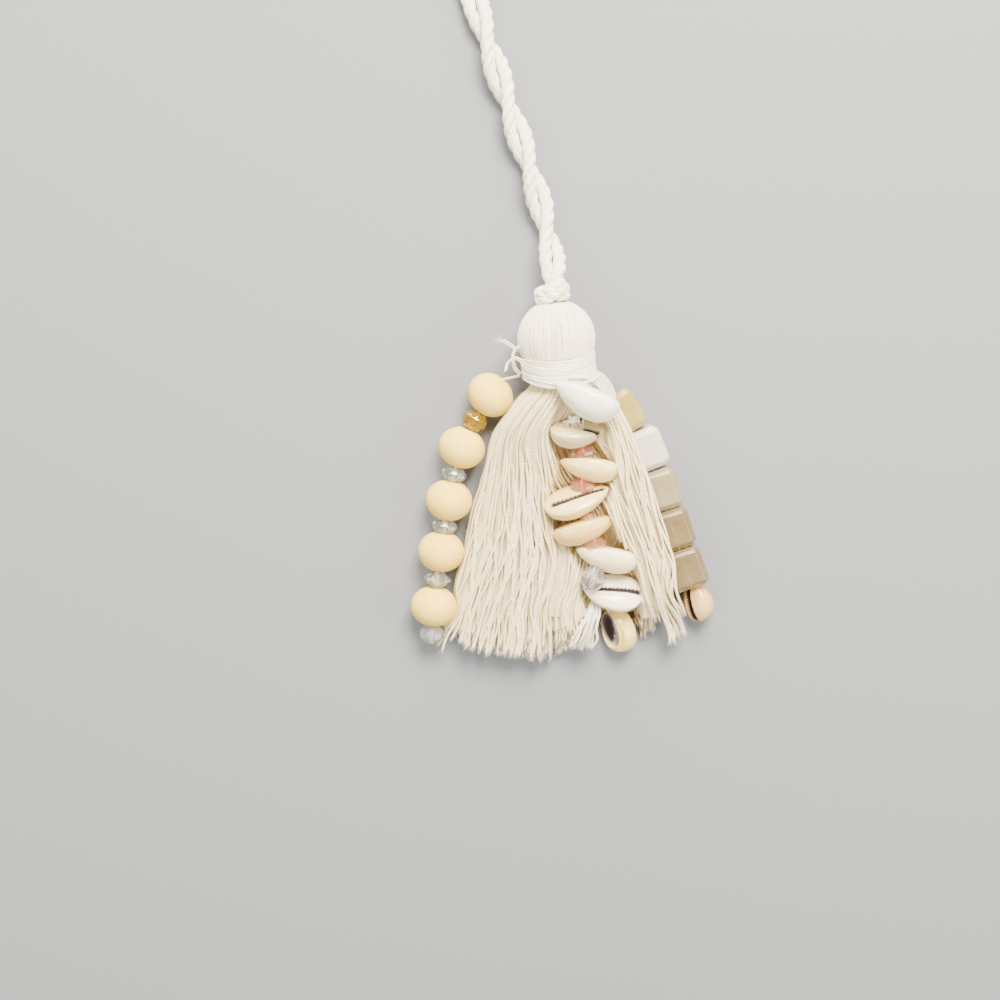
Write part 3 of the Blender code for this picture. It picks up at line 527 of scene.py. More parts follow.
def bead_matrix(bead):
    """Local Z lies along the string, and local X stays level."""
    axis = heading_axis(bead.heading)
    up = Vector((0, 0, 1))
    turn = Matrix((up.cross(axis), up, axis)).transposed()
    if turn.determinant() < 0:
        turn = Matrix((-up.cross(axis), up, axis)).transposed()
    return Matrix.Translation(in_frame((bead.x, bead.y, bead.z))) @ turn.to_4x4()


def cowrie_matrix(shell):
    turn = Matrix.Rotation(math.radians(shell.turn), 4, "Z")
    roll = Matrix.Rotation(math.radians(-shell.roll), 4, "X")
    return Matrix.Translation(in_frame((shell.x, shell.y, shell.z))) @ turn @ roll


def half_length(bead):
    if bead.kind == "wood":
        return WOOD_HALF_LENGTH
    if bead.kind == "cube":
        return CUBE_SIZE / 2
    return CRYSTALS[bead.kind].half_length


def ends_of(bead):
    reach = np.array(heading_axis(bead.heading)) * half_length(bead)
    middle = np.array((bead.x, bead.y, bead.z))
    return middle - reach, middle + reach


# Skirt


def smoothstep(t):
    t = np.clip(t, 0.0, 1.0)
    return t * t * (3 - 2 * t)


def skirt_row(y):
    """The skirt's section at y, each column read on a smooth curve."""
    rising = SKIRT_SECTIONS[::-1]
    knots = [row.y for row in rising]
    where = float(np.clip(y, knots[0], knots[-1]))
    columns = {
        name: float(hermite(knots, [getattr(row, name) for row in rising], where))
        for name in Section._fields[1:]
    }
    return Section(y=y, **columns)


def root_section(radius):
    """Places across the neck's round section with the lowest and highest a yarn's middle can be at each."""
    share = np.linspace(-1, 1, 161)
    half = (ROOT_RADIUS - radius) * np.sqrt(1 - share**2)
    x = ROOT_CENTRE[0] + (ROOT_RADIUS - radius) * share
    return x, ROOT_CENTRE[1] - half, ROOT_CENTRE[1] + half


def skirt_section(row, radius):
    """The same for a row of the skirt's table."""
    share = np.linspace(-1, 1, 161)
    x = (row.left + row.right) / 2 + ((row.right - row.left) / 2 - radius) * share
    underside = row.perch_top * smoothstep((x - row.perch) / 1.5 + 0.5)
    mix = smoothstep((x - row.valley) / CREST_BLEND + 0.5)
    crest = row.left_crest * (1 - mix) + row.right_crest * mix
    low = underside + radius
    top = underside + np.maximum(crest - underside, 3 * radius) * np.sqrt(1 - np.abs(share) ** 4 * 0.75)
    _, neck_low, neck_top = root_section(radius)
    low = np.maximum(low, low * (1 - row.neck) + neck_low * row.neck)
    top = (top - radius) * (1 - row.neck) + neck_top * row.neck
    away = (x - row.valley) / row.valley_half
    valley = row.valley_top + VALLEY_DEPTH * (1 - np.sqrt(np.clip(1 - away**2, 0, 1))) - radius
    top = np.where(np.abs(away) < 1, np.minimum(top, valley), top)
    return x, low, np.maximum(top, low)


def section_at(y):
    radius = yarn_radius(y)
    root = root_section(radius)
    if y >= NECK_EXIT_Y:
        return root
    first = SKIRT_SECTIONS[0].y
    if y <= first:
        return skirt_section(skirt_row(y), radius)
    shoulder = skirt_section(SKIRT_SECTIONS[0], radius)
    share = (NECK_EXIT_Y - y) / (NECK_EXIT_Y - first)
    return tuple(a * (1 - share) + b * share for a, b in zip(root, shoulder))


def yarn_radius(y):
    return np.interp(y, [-70.0, ROOT_Y], [YARN_RADIUS_HEM, YARN_RADIUS_ROOT])


def spots_in_section(u, v, section):
    """Where yarns with unit-disc places (u, v) cross a section. Every yarn gets the same area."""
    x, low, high = section
    room = high - low
    area = np.concatenate([[0], np.cumsum((room[1:] + room[:-1]) * np.diff(x))])
    before = (np.arcsin(u) + u * np.sqrt(1 - u * u)) / math.pi + 0.5
    place = np.interp(before, area / area[-1], x)
    up = (v / np.sqrt(1 - u * u) + 1) / 2
    base, crown = np.interp(place, x, low), np.interp(place, x, high)
    return place, base + up * (crown - base)


def golden_disc(count):
    """Points of the golden lattice inside the unit disc. They stay well apart however flat it is pressed."""
    golden = (1 + math.sqrt(5)) / 2
    pitch = math.sqrt(math.pi / (count * math.sqrt(5)))
    reach = range(-count, count + 1)
    spots = [
        ((m + n * golden) * pitch, (m + n * (1 - golden)) * pitch) for m in reach for n in reach
    ]
    return np.array(sorted((u, v) for u, v in spots if u * u + v * v < 0.96))


Space = namedtuple("Space", "matrix half push")


def taken_spaces():
    """The space of each bead and shell: its matrix, its half sizes in mm, and where it pushes a yarn."""
    found = []
    for bead in LEFT_STRING:
        if bead.kind == "wood":
            half = (WOOD_RADIUS, WOOD_RADIUS, WOOD_HALF_LENGTH + 0.4)
        else:
            shape = CRYSTALS[bead.kind]
            half = (shape.radius, shape.radius, shape.half_length * 1.25)
        found.append(Space(bead_matrix(bead), half, "out"))
    for bead in MIDDLE_STRING:
        shape = CRYSTALS[bead.kind]
        found.append(Space(bead_matrix(bead), (shape.radius, shape.radius, shape.half_length * 1.3), "down"))
    for bead in RIGHT_STRING:
        found.append(Space(bead_matrix(bead), (CUBE_SIZE / 2,) * 3, "over"))
    for shell in COWRIES:
        half = (shell.length / 2, shell.width * 0.5, shell.height * 0.52)
        push = "out" if shell.name in ("cowrie_cut", "cowrie_side") else "down"
        found.append(Space(cowrie_matrix(shell), half, push))
    return found


# Down, right and left, and how dear each way is
WAYS_OUT = ((0.0, 0.0, -1.0), (1.0, 0.0, 0.0), (-1.0, 0.0, 0.0))
WAY_COSTS = (1.0, 1.5, 1.5)


def way_out(scaled, size, way):
    """How far each point has to go along a direction to leave the unit sphere."""
    a, b, c = (way**2).sum(), 2 * scaled @ way, size**2 - 1
    return (np.sqrt(np.maximum(b * b - 4 * a * c, 0)) - b) / (2 * a)


def push_off(points, space, radius):
    """Moves a yarn's points out of a bead's or shell's space."""
    turn = np.array(space.matrix)
    inverse = np.linalg.inv(turn)
    local = in_frame(points) @ inverse[:3, :3].T + inverse[:3, 3]
    reach = (np.array(space.half) + radius) * MM
    if space.push == "over":
        inside = (np.abs(local) < reach).all(axis=1)
        high = inside & (points[:, 2] > 0.6 * CUBE_SIZE)
        points[high, 2] = CUBE_SIZE + radius
        inside &= ~high
        local[inside, 0] = -reach[0]
    else:
        scaled = local / reach
        size = np.linalg.norm(scaled, axis=1)
        inside = size < 1
        if space.push == "down" and inside.any():
            deepest = np.argmin(size)
            ways = [way_out(scaled, size, inverse[:3, :3] @ np.array(way) / reach) for way in WAYS_OUT]
            costs = [distance[deepest] * cost for distance, cost in zip(ways, WAY_COSTS)]
            best = int(np.argmin(costs))
            points[inside] += np.array(WAYS_OUT[best]) * ways[best][inside, None] / MM
            return
        local[inside] /= np.maximum(size[inside], 0.2)[:, None]
    if inside.any():
        moved = local[inside] @ turn[:3, :3].T + turn[:3, 3]
        points[inside] = moved / MM + FOOTPRINT_CENTRE


def eased(push):
    """A push spread out along the yarn, as strong at its peak as before."""
    spread = push.copy()
    for _ in range(12):
        spread[1:-1] = (spread[:-2] + 2 * spread[1:-1] + spread[2:]) / 4
    peak = np.linalg.norm(push, axis=1).max()
    return spread * peak / max(np.linalg.norm(spread, axis=1).max(), 1e-9)


def settled(path, spaces, radius):
    """A yarn's path eased round the beads and shells, and on or above the floor."""
    loose = path[:, 1] < NECK_EXIT_Y
    for _ in range(2):
        for space in spaces:
            moved = path.copy()
            push_off(moved, space, radius)
            push = (moved - path) * loose[:, None]
            if np.abs(push).max() > 0.02:
                path = path + eased(push) * loose[:, None]
        path[:, 2] = np.maximum(path[:, 2], radius)
    for _ in range(2):
        path[1:-1] = (path[:-2] + 2 * path[1:-1] + path[2:]) / 4
    return path


def is_smooth(path):
    """Whether a yarn has no sharp turn."""
    ways = unit(np.diff(path, axis=0))
    return (ways[1:] * ways[:-1]).sum(axis=1).min() > math.cos(math.radians(SHARPEST_TURN))


def skirt_paths(rng):
    """The skirt's yarns from root to cut end: gathered into clumps, a little wavy, of nearly one length."""
    disc = golden_disc(YARN_COUNT)
    levels = np.concatenate([[ROOT_Y, 30.5], np.linspace(NECK_EXIT_Y, -70.0, 60)])
    sections = [section_at(y) for y in levels]
    angles = rng.uniform(0, 2 * math.pi, CLUMPS)
    reaches = np.sqrt(rng.uniform(0, 1, CLUMPS)) * 0.95
    centres = np.stack([reaches * np.cos(angles), reaches * np.sin(angles)], axis=1)
    nearest = np.argmin(np.linalg.norm(disc[:, None] - centres[None], axis=2), axis=1)
    pull = centres[nearest] - disc
    phases = rng.uniform(0, 2 * math.pi, (len(disc), 6))
    strays = rng.uniform(0, 1, len(disc)) ** 2.6
    spots = []
    for y, section in zip(levels, sections):
        free = smoothstep((NECK_EXIT_Y - y) / 45.0)
        sway = 0.014 + 0.07 * strays
        drift = 0.12 * strays * free
        u = disc[:, 0] + free * (0.24 * pull[:, 0] + sway * np.sin(y / 14.0 + phases[:, 0]))
        u = u + drift * np.sin(phases[:, 4])
        v = disc[:, 1] + free * (0.24 * pull[:, 1] + 2 * sway * np.sin(y / 19.0 + phases[:, 1]))
        size = np.maximum(np.hypot(u, v) / 0.985, 1.0)
        x, z = spots_in_section(u / size, v / size, section)
        crimp = 0.17 * free
        x = x + crimp * (np.sin(y / 1.9 + phases[:, 2]) + 1.4 * np.sin(y / 4.3 + phases[:, 5]))
        z = z + crimp * (np.sin(y / 2.1 + phases[:, 3]) + 1.4 * np.sin(y / 4.9 + phases[:, 4]))
        spots.append(np.stack([x, np.full(len(x), y), z], axis=1))
    paths = np.stack(spots, axis=1)
    trimmed = []
    for path, place in zip(paths, disc):
        length = YARN_LENGTH * (1 - 0.07 * abs(place[0]) ** 1.6) + rng.normal(0, 0.9)
        along = lengths_along(path)
        steps = np.linspace(0, min(length, along[-1]), YARN_RINGS)
        trimmed.append(np.stack([np.interp(steps, along, path[:, k]) for k in range(3)], axis=1))
    return trimmed


def frayed_end(skein, path, rng, fibres, length, radius=0.08, spread=0.22):
    """Fibres that open a little out of a yarn's cut end, like a short brush."""
    end = path[-1]
    ahead = unit(path[-1] - path[-3])
    for _ in range(fibres):
        aim = unit(ahead + rng.normal(0, spread, 3) * (1, 1, 0.6))
        reach = length * rng.uniform(0.6, 1.15)
        steps = np.linspace(0, 1, 4)[:, None]
        start = end + rng.normal(0, 0.2, 3) - ahead * 0.8
        line = start + aim * (reach + 0.8) * steps + rng.normal(0, 0.12, 3) * reach * steps**2
        line[:, 2] = np.maximum(line[:, 2], radius)
        skein.add(line, np.linspace(radius, radius * 0.5, 4), sides=3, tone=rng.uniform(0.8, 1.2))


def fluff(skein, path, rng, fibres, radius=0.045):
    """Short fibres that stand off a yarn."""
    for _ in range(fibres):
        i = rng.integers(3, len(path) - 1)
        ahead = unit(path[i] - path[i - 1])
        aim = unit(ahead * rng.uniform(-0.6, 1.0) + rng.normal(0, 0.7, 3))
        reach = rng.uniform(1.2, 3.2)
        steps = np.linspace(0, 1, 4)[:, None]
        line = path[i] + aim * reach * steps + rng.normal(0, 0.5, 3) * steps**2
        line[:, 2] = np.maximum(line[:, 2], radius)
        skein.add(line, np.linspace(radius, radius * 0.4, 4), sides=3, tone=rng.uniform(0.4, 1.0))


Stray = namedtuple("Stray", "start end from_y to_y lift")
EDGE_STRAYS = (
    Stray(-0.90, -0.99, 8.0, -50.0, 0.9),
    Stray(-0.70, -0.98, -6.0, -56.0, 0.8),
    Stray(-0.55, -0.86, -10.0, -59.0, 0.8),
    Stray(-0.62, -0.25, 12.0, -60.0, 0.7),
    Stray(0.92, 0.74, 6.0, -52.0, 0.6),
)
LEFT_STRAYS = 34
RIGHT_STRAYS = 12


def stray_rows(rng):
    """Yarns that lie across the others: a few named ones at the edges, and many scattered on both masses."""
    rows = list(EDGE_STRAYS)
    for i in range(LEFT_STRAYS + RIGHT_STRAYS):
        left = i < LEFT_STRAYS
        start = rng.uniform(-0.92, -0.05) if left else rng.uniform(0.66, 0.95)
        low, high = (-0.97, 0.05) if left else (0.6, 0.97)
        end = min(max(start + rng.uniform(-0.22, 0.26) * (1.0 if left else 0.5), low), high)
        hem = 8.0 * abs(end) ** 2 - 60.0 + rng.uniform(-1.0, 1.0)
        rows.append(Stray(start, end, rng.uniform(-28.0, 18.0), hem, rng.uniform(0.3, 0.8)))
    return rows


def stray_path(stray, spaces, rng):
    """A yarn that crosses the others on top of the skirt."""
    levels = np.linspace(stray.from_y, stray.to_y, 44)
    share = (stray.from_y - levels) / (stray.from_y - stray.to_y)
    phase = rng.uniform(0, 2 * math.pi)
    spots = []
    for y, s in zip(levels, share):
        u = stray.start + (stray.end - stray.start) * smoothstep(s) + 0.012 * math.sin(y / 5 + phase)
        u = min(max(u, -0.992), 0.992)
        x, z = spots_in_section(np.array([u]), np.array([0.99 * math.sqrt(1 - u * u)]), section_at(y))
        sunk = 1.4 * (1 - smoothstep(s / 0.14))
        wave = 0.25 * math.sin(y / 2.3 + phase) + 0.2 * math.sin(y / 4.1 + 2 * phase)
        spots.append((x[0] + wave, y, z[0] + stray.lift * smoothstep(s / 0.2) - sunk))
    return settled(np.array(spots), spaces, YARN_RADIUS_HEM)


def make_skirt():
    rng = np.random.default_rng(21)
    spaces = taken_spaces()
    left, middle, right, fuzz = Skein(), Skein(), Skein(), Skein()
    paths = [settled(path, spaces, YARN_RADIUS_HEM) for path in skirt_paths(rng)]
    strays = [stray_path(stray, spaces, rng) for stray in stray_rows(rng)]
    for path in filter(is_smooth, paths + strays):
        along = lengths_along(path)
        uneven = np.sin(along / 1.7 + rng.uniform(0, 6)) + np.sin(along / 2.9 + rng.uniform(0, 6))
        radii = yarn_radius(path[:, 1]) * rng.uniform(0.86, 1.12) * (1 + 0.06 * uneven)
        tone = rng.uniform(0.1, 0.9) + 0.6 * smoothstep((along - along[-1] + 3.0) / 3.0)
        end = path[-1, 0]
        side = left if end < -14 else middle if end < 6 else right
        side.add(path, radii, sides=5, tone=tone)
        frayed_end(fuzz, path, rng, fibres=7, length=1.0)
        fluff(fuzz, path, rng, fibres=3)
    for name, skein in (("skirt_left", left), ("skirt_middle", middle), ("skirt_right", right)):
        finish_piece(new_piece(name, skein.mesh(name)), COTTON)
    finish_piece(new_piece("skirt_fluff", fuzz.mesh("skirt_fluff")), WHITE_COTTON)


def make_bed():
    """The skirt's deeper yarns, as one ribbed surface just under the top ones."""
    rng = np.random.default_rng(29)
    levels = np.linspace(29.0, -47.0, 64)
    shares = np.linspace(0.05, 0.95, BED_RIBS)
    ripple = 0.22 * np.cos(np.arange(BED_RIBS) * math.pi)
    tones = np.repeat(rng.uniform(0.2, 0.8, BED_RIBS // 2), 2)
    rows = []
    for y in levels:
        x, low, high = section_at(y)
        place = x[0] + (x[-1] - x[0]) * shares
        top = np.interp(place, x, high) - BED_DEPTH + ripple
        rows.append(np.stack([place, np.full(BED_RIBS, y), np.maximum(top, np.interp(place, x, low))], axis=1))
    points = np.concatenate(rows)
    i, j = np.meshgrid(np.arange(len(levels) - 1), np.arange(BED_RIBS - 1), indexing="ij")
    first = i * BED_RIBS + j
    quads = np.stack([first, first + BED_RIBS, first + BED_RIBS + 1, first + 1], axis=-1)
    mesh = bpy.data.meshes.new("skirt_bed")
    mesh.from_pydata(in_frame(points).tolist(), [], quads.reshape(-1, 4).tolist())
    traits = {
        "tone": np.tile(tones, len(levels)),
        "along": points[:, 1],
        "facing": np.tile(np.cos(np.arange(BED_RIBS) * 1.3), len(levels)),
        "beside": np.tile(np.sin(np.arange(BED_RIBS) * 1.3), len(levels)),
    }
    for name, values in traits.items():
        mesh.attributes.new(name, "FLOAT", "POINT").data.foreach_set("value", values.astype(np.float32))
    mesh.shade_smooth()
    return finish_piece(new_piece("skirt_bed", mesh), COTTON)


def make_ball():
    """Yarns laid side by side from the dimple at the knot to the neck, over a round core."""
    rng = np.random.default_rng(5)
    skein = Skein()
    for i in range(BALL_YARNS):
        turn = 2 * math.pi * (i + rng.uniform(-0.3, 0.3)) / BALL_YARNS
        lift = rng.uniform(-0.06, 0.08)
        steps = np.linspace(0, 1, 26)
        polar = np.radians(BALL_TOP + (BALL_FOOT - BALL_TOP) * steps)
        wander = rng.normal(0, 0.014) * np.sin(math.pi * steps) + rng.normal(0, 0.01) * np.sin(2 * math.pi * steps)
        radius = BALL_RADIUS + lift + 0.05 * np.sin(9 * steps + rng.uniform(0, 6))
        line = np.stack(
            [
                radius * np.sin(polar) * np.cos(turn + wander),
                radius * np.sin(polar) * np.sin(turn + wander),
                radius * np.cos(polar),
            ],
            axis=1,
        )
        start = np.stack([line[0] * (0.4, 0.4, 0.90), line[0] * (0.75, 0.75, 0.985)])
        path = on_head(np.concatenate([start, line]))
        skein.add(path, BALL_YARN_RADIUS * rng.uniform(0.9, 1.15), sides=6, tone=rng.uniform(0.45, 0.95))
    core = []
    for polar in np.radians(np.linspace(4, 150, 26)):
        core.append((11.55 * math.sin(polar), 11.55 * math.cos(polar)))
    core_rings = on_head([(0, 0, height) for _, height in core])
    # The core's low tone of 0.2 paints shade where it shows in the gaps between the ball's yarns.
    skein.add(core_rings, np.array([min(radius, 10.6 if height < -6 else 99) for radius, height in core]), 40, 0.2)
    obj = new_piece("ball_yarn", skein.mesh("ball_yarn"))
    return finish_piece(obj, BRIGHT_COTTON)


def binding_edge(turn, lower):
    """How high on the head's axis the binding's edge runs, at an angle round it. 0 is the right side."""
    right = max(math.cos(turn), 0.0)
    left = max(-math.cos(turn), 0.0)
    front = max(-math.sin(turn), 0.0)
    if lower:
        return -13.6 - 1.5 * right**2 + 2.6 * left**2 - 0.7 * front
    return -6.6 + 2.2 * right**3 + 1.5 * left**2 + 0.3 * front


def make_binding():
    """Turns of fine white yarn round the neck, close on the left and spread on the right, with a few that cross."""
    rng = np.random.default_rng(9)
    skein = Skein()
    turns = np.linspace(0, 2 * math.pi, 73)
    for layer, count in ((0, 34), (1, 34), (2, 20)):
        for i in range(count):
            share = (i + 0.5) / count + rng.uniform(-0.02, 0.02)
            slope = rng.normal(0, 0.03 + 0.05 * layer)
            phase = rng.uniform(0, 2 * math.pi)
            radius = NECK_RADIUS + BINDING_RADIUS * (1 + 0.75 * layer) + rng.uniform(-0.05, 0.07)
            ring = []
            for t in turns:
                place = min(max(share + slope * math.sin(t + phase), 0.0), 1.0)
                upper, lower = binding_edge(t, False), binding_edge(t, True)
                ring.append((radius * math.cos(t), radius * math.sin(t), upper + (lower - upper) * place))
            skein.add(on_head(ring), BINDING_RADIUS * rng.uniform(0.85, 1.15), 6, rng.uniform(0.4, 1.0))
    for i in range(TRAIL_YARNS):
        beside = np.array((-0.24, -0.17, 0.09)) * i + rng.normal(0, 0.08, 3)
        skein.add(smooth_path(np.array(BINDING_TRAIL) + beside, 40), BINDING_RADIUS, 6, rng.uniform(0.5, 1.0))
    skein.add(smooth_path(BINDING_CROSSING, 50), 0.3, 6, 0.9)
    obj = new_piece("neck_binding", skein.mesh("neck_binding"))
    return finish_piece(obj, WHITE_COTTON, ["neck_wrap"])


# The binding's last turns, which pass down beside the top shell as one swath, and one that crosses the front
TRAIL_YARNS = 14
BINDING_TRAIL = (
    (3.0, 34.2, 23.4),
    (8.4, 33.8, 21.0),
    (12.0, 31.6, 18.2),
    (14.3, 28.4, 15.8),
    (15.4, 24.8, 14.2),
    (14.6, 21.4, 13.2),
)
BINDING_CROSSING = (
    (-14.0, 33.0, 15.0),
    (-10.0, 31.0, 20.6),
    (-4.0, 29.9, 23.8),
    (2.0, 29.9, 24.6),
    (8.0, 31.4, 22.2),
    (10.6, 32.8, 18.4),
)


# Cord and knot


def ply_tubes(skein, path, leg_radius, lay=PLY_LAY, tone=0.7, sides=8):
    """Three plies wound round a path, with a soft core between them."""
    across, over = carried_frame(path)
    along = lengths_along(path)
    ply_radius = 0.57 * leg_radius
    for ply in range(3):
        angle = 2 * math.pi * (along / lay + ply / 3)
        offset = across * np.cos(angle)[:, None] + over * np.sin(angle)[:, None]
        skein.add(path + offset * (leg_radius - ply_radius), ply_radius, sides, tone + 0.1 * (ply - 1))
    skein.add(path, 0.5 * leg_radius, sides, tone - 0.4)


def eye_points():
    """One side of the cord's eye, as (along, aside): the leg swings out, then round to the tip, on two even bends."""
    reach = math.sqrt((2 * EYE_BEND) ** 2 - (LEG_OFFSET + EYE_BEND) ** 2)
    swing = math.asin(reach / (2 * EYE_BEND))
    outward = [
        (EYE_BEND * math.sin(a), LEG_OFFSET + EYE_BEND * (1 - math.cos(a)))
        for a in np.linspace(0, swing, 5)[1:]
    ]
    round_tip = [
        (reach + EYE_BEND * math.cos(a), EYE_BEND * math.sin(a))
        for a in np.linspace(math.pi / 2 + swing, 0, 11)[1:]
    ]
    return outward + round_tip


def cord_points():
    """The cord's middle line: out along one leg, round the eye, and back along the other."""
    line = smooth_path(CORD_ROUTE, 240)
    along = lengths_along(line)
    stop = FIRST_CROSSING + (CROSSINGS - 0.5) * HALF_TURN + UNWINDING / 2
    out, back = [], []
    for place in np.linspace(0.0, stop, 30):
        spot = np.array([np.interp(place, along, line[:, k]) for k in range(3)])
        ahead = np.array([np.interp(place + 1, along, line[:, k]) for k in range(3)])
        tangent = Vector(ahead - spot).normalized()
        aside = Vector((0, 0, 1)).cross(tangent).normalized()
        upward = tangent.cross(aside)
        left = stop - place
        wound = left - UNWINDING / 2 if left > UNWINDING else left**2 / (2 * UNWINDING)
        phase = -math.pi * wound / HALF_TURN_SHOWN
        offset = np.array(aside * math.cos(phase) + upward * math.sin(phase)) * LEG_OFFSET
        out.append(spot + offset)
        back.append(spot - offset)
    level = np.array(Vector((tangent.x, tangent.y, 0.0)).normalized())
    eye = [spot + level * ahead + np.array(aside) * side for ahead, side in eye_points()]
    mirrored = [spot + level * ahead - np.array(aside) * side for ahead, side in eye_points()[-2::-1]]
    return smooth_path([*out, *eye, *mirrored, *back[::-1]], CORD_RINGS)


KNOT_LIFT = 14.2
KNOT_RADIUS = 3.75
KNOT_STRAND = 2.0


def in_knot(height, aside=0.0, forward=0.0):
    """A point of the knot, from heights along the head's axis."""
    return on_head([(aside, forward, KNOT_LIFT + height)])[0]


def make_cord():
    rng = np.random.default_rng(3)
    path = np.concatenate([[in_knot(0.6, 1.4)], cord_points(), [in_knot(0.6, -1.4)]])
    path = smooth_path(path, 460)
    skein = Skein()
    ply_tubes(skein, path, LEG_RADIUS)
    fluff(skein, path[::4], rng, fibres=420, radius=0.035)
    obj = finish_piece(new_piece("cord", skein.mesh("cord")), CORD_COTTON, ["hanging_cord"])
    return obj


def make_knot():
    """Rounds of the cord drawn tight on the ball's top, rising to the right."""
    skein = Skein()
    turns = np.linspace(-0.35 * math.pi, 4.1 * math.pi, 150)
    share = (turns - turns[0]) / (turns[-1] - turns[0])
    tuck = smoothstep(share / 0.08) * smoothstep((1 - share) / 0.1)
    radius = KNOT_RADIUS * (0.35 + 0.65 * tuck)
    rise = -1.9 + 3.8 * share + 0.9 * np.cos(turns) * tuck - 0.5 * np.sin(2 * turns)
    line = np.stack([radius * np.cos(turns), radius * np.sin(turns), rise + KNOT_LIFT], axis=1)
    ply_tubes(skein, on_head(line), KNOT_STRAND, lay=7.0)
    obj = new_piece("knot", skein.mesh("knot"))
    return finish_piece(obj, CORD_COTTON, ["cord_knot"])


# Beads


def turned_mesh(name, profile, steps):
    """A mesh turned about Z from (radius, height) points in millimetres, closed through its bore."""
    angles = np.arange(steps) * 2 * math.pi / steps
    rings = np.array([[(r * math.cos(a), r * math.sin(a), h) for a in angles] for r, h in profile])
    n = len(profile)
    faces = []
    for i in range(n):
        for j in range(steps):
            k, m = (j + 1) % steps, (i + 1) % n
            faces.append((i * steps + j, m * steps + j, m * steps + k, i * steps + k))
    mesh = bpy.data.meshes.new(name)
    mesh.from_pydata((rings.reshape(-1, 3) * MM).tolist(), [], faces)
    mesh.update()
    return mesh


def make_wood_bead(bead):
    start = math.asin(2.2 / WOOD_RADIUS)
    angles = np.linspace(start, math.pi - start, 30)
    squash = WOOD_HALF_LENGTH / math.cos(start)
    outside = [(WOOD_RADIUS * math.sin(a), math.cos(a) * squash) for a in angles]
    mouth = [(1.5, WOOD_HALF_LENGTH - 0.05), (1.15, WOOD_HALF_LENGTH - 0.35)]
    bore = [(BORE_RADIUS, WOOD_HALF_LENGTH - 1.0), (BORE_RADIUS, 1.0 - WOOD_HALF_LENGTH)]
    profile = [*mouth[::-1], *outside, *((r, -h) for r, h in mouth), *bore[::-1]]
    mesh = turned_mesh(bead.name, profile, 56)
    mesh.shade_smooth()
    obj = new_piece(bead.name + "_turned", mesh, bead_matrix(bead))
    return finish_piece(obj, WOOD, [bead.name])


def make_crystal(bead):
    """Facets in offset rows between the table, the girdle and the far table."""
    shape = CRYSTALS[bead.kind]
    table = shape.radius * shape.table
    half = shape.half_length
    waist = (table + shape.radius) / 2 * 1.04
    rows = (
        (BORE_RADIUS * 0.8, half - 0.25, 0.0),
        (table, half, 0.0),
        (waist, (half + shape.girdle) / 2 + 0.1, 0.5),
        (shape.radius, shape.girdle, 0.0),
        (shape.radius, -shape.girdle, 0.0),
        (waist, -(half + shape.girdle) / 2 - 0.1, 0.5),
        (table, -half, 0.0),
        (BORE_RADIUS * 0.8, 0.25 - half, 0.0),
    )
    bm = bmesh.new()
    rings = []
    for radius, height, offset in rows:
        angles = [2 * math.pi * (j + offset) / shape.facets for j in range(shape.facets)]
        rings.append(
            [bm.verts.new(Vector((radius * math.cos(a), radius * math.sin(a), height)) * MM) for a in angles]
        )
    n = shape.facets
    for i, ring in enumerate(rings):
        following = rings[(i + 1) % len(rings)]
        shift = rows[(i + 1) % len(rings)][2] - rows[i][2]
        for j in range(n):
            k = (j + 1) % n
            if shift == 0:
                bm.faces.new((ring[j], following[j], following[k], ring[k]))
            elif shift > 0:
                bm.faces.new((ring[j], following[j], ring[k]))
                bm.faces.new((following[j], following[k], ring[k]))
            else:
                bm.faces.new((ring[j], following[k], ring[k]))
                bm.faces.new((ring[j], following[j], following[k]))
    bmesh.ops.recalc_face_normals(bm, faces=bm.faces)
    mesh = bpy.data.meshes.new(bead.name)
    bm.to_mesh(mesh)
    bm.free()
    obj = new_piece(bead.name + "_cut", mesh, bead_matrix(bead))
    return finish_piece(obj, GLASS[bead.glass], [bead.name])


def make_cube(bead):
    """A square bead with wide polished bevels, a little longer along the string than across."""
    bm = bmesh.new()
    bmesh.ops.create_cube(bm, size=CUBE_SIZE * MM)
    bmesh.ops.scale(bm, vec=(1.0, 1.0, CUBE_LENGTH / CUBE_SIZE), verts=bm.verts)
    bmesh.ops.bevel(bm, geom=list(bm.edges), offset=CUBE_BEVEL * MM, segments=1, profile=0.5, affect="EDGES")
    bmesh.ops.bevel(bm, geom=list(bm.edges), offset=0.16 * MM, segments=2, profile=0.6, affect="EDGES")
    mesh = bpy.data.meshes.new(bead.name)
    bm.to_mesh(mesh)
    bm.free()
    mesh.shade_smooth()
    mesh.set_sharp_from_angle(angle=math.radians(35))
    obj = new_piece(bead.name + "_polished", mesh, bead_matrix(bead))
    return finish_piece(obj, GLASS[bead.glass], [bead.name])


# Cowrie shells

SHELL_RINGS = 104
SHELL_SEGMENTS = 72
CUT_SEGMENTS = 150
BELLY_SHARE = 0.26
EGG_SHARE = 0.2
SLIT_DEPTH = 0.55
TOOTH_COUNT = 15

# How far the slit lies to the side of the belly's middle and leans, how wide it gapes, between which ends it
# is seen, and how strong its teeth are
Slit = namedtuple("Slit", "aside lean gape start stop teeth")
CLOSED_SLIT = Slit(0.0, 0.0, 1.0, -0.93, 0.93, 1.0)
SLITS = {
    "cowrie_2": Slit(0.36, -0.35, 3.0, -0.8, -0.2, 0.0),
    "cowrie_4": Slit(0.24, 0.0, 2.1, -0.86, 0.78, 0.5),
    "cowrie_7": Slit(-0.05, 0.0, 1.7, -0.93, 0.9, 1.0),
    "cowrie_side": Slit(-0.12, 0.0, 3.8, -0.9, 0.9, 0.35),
}


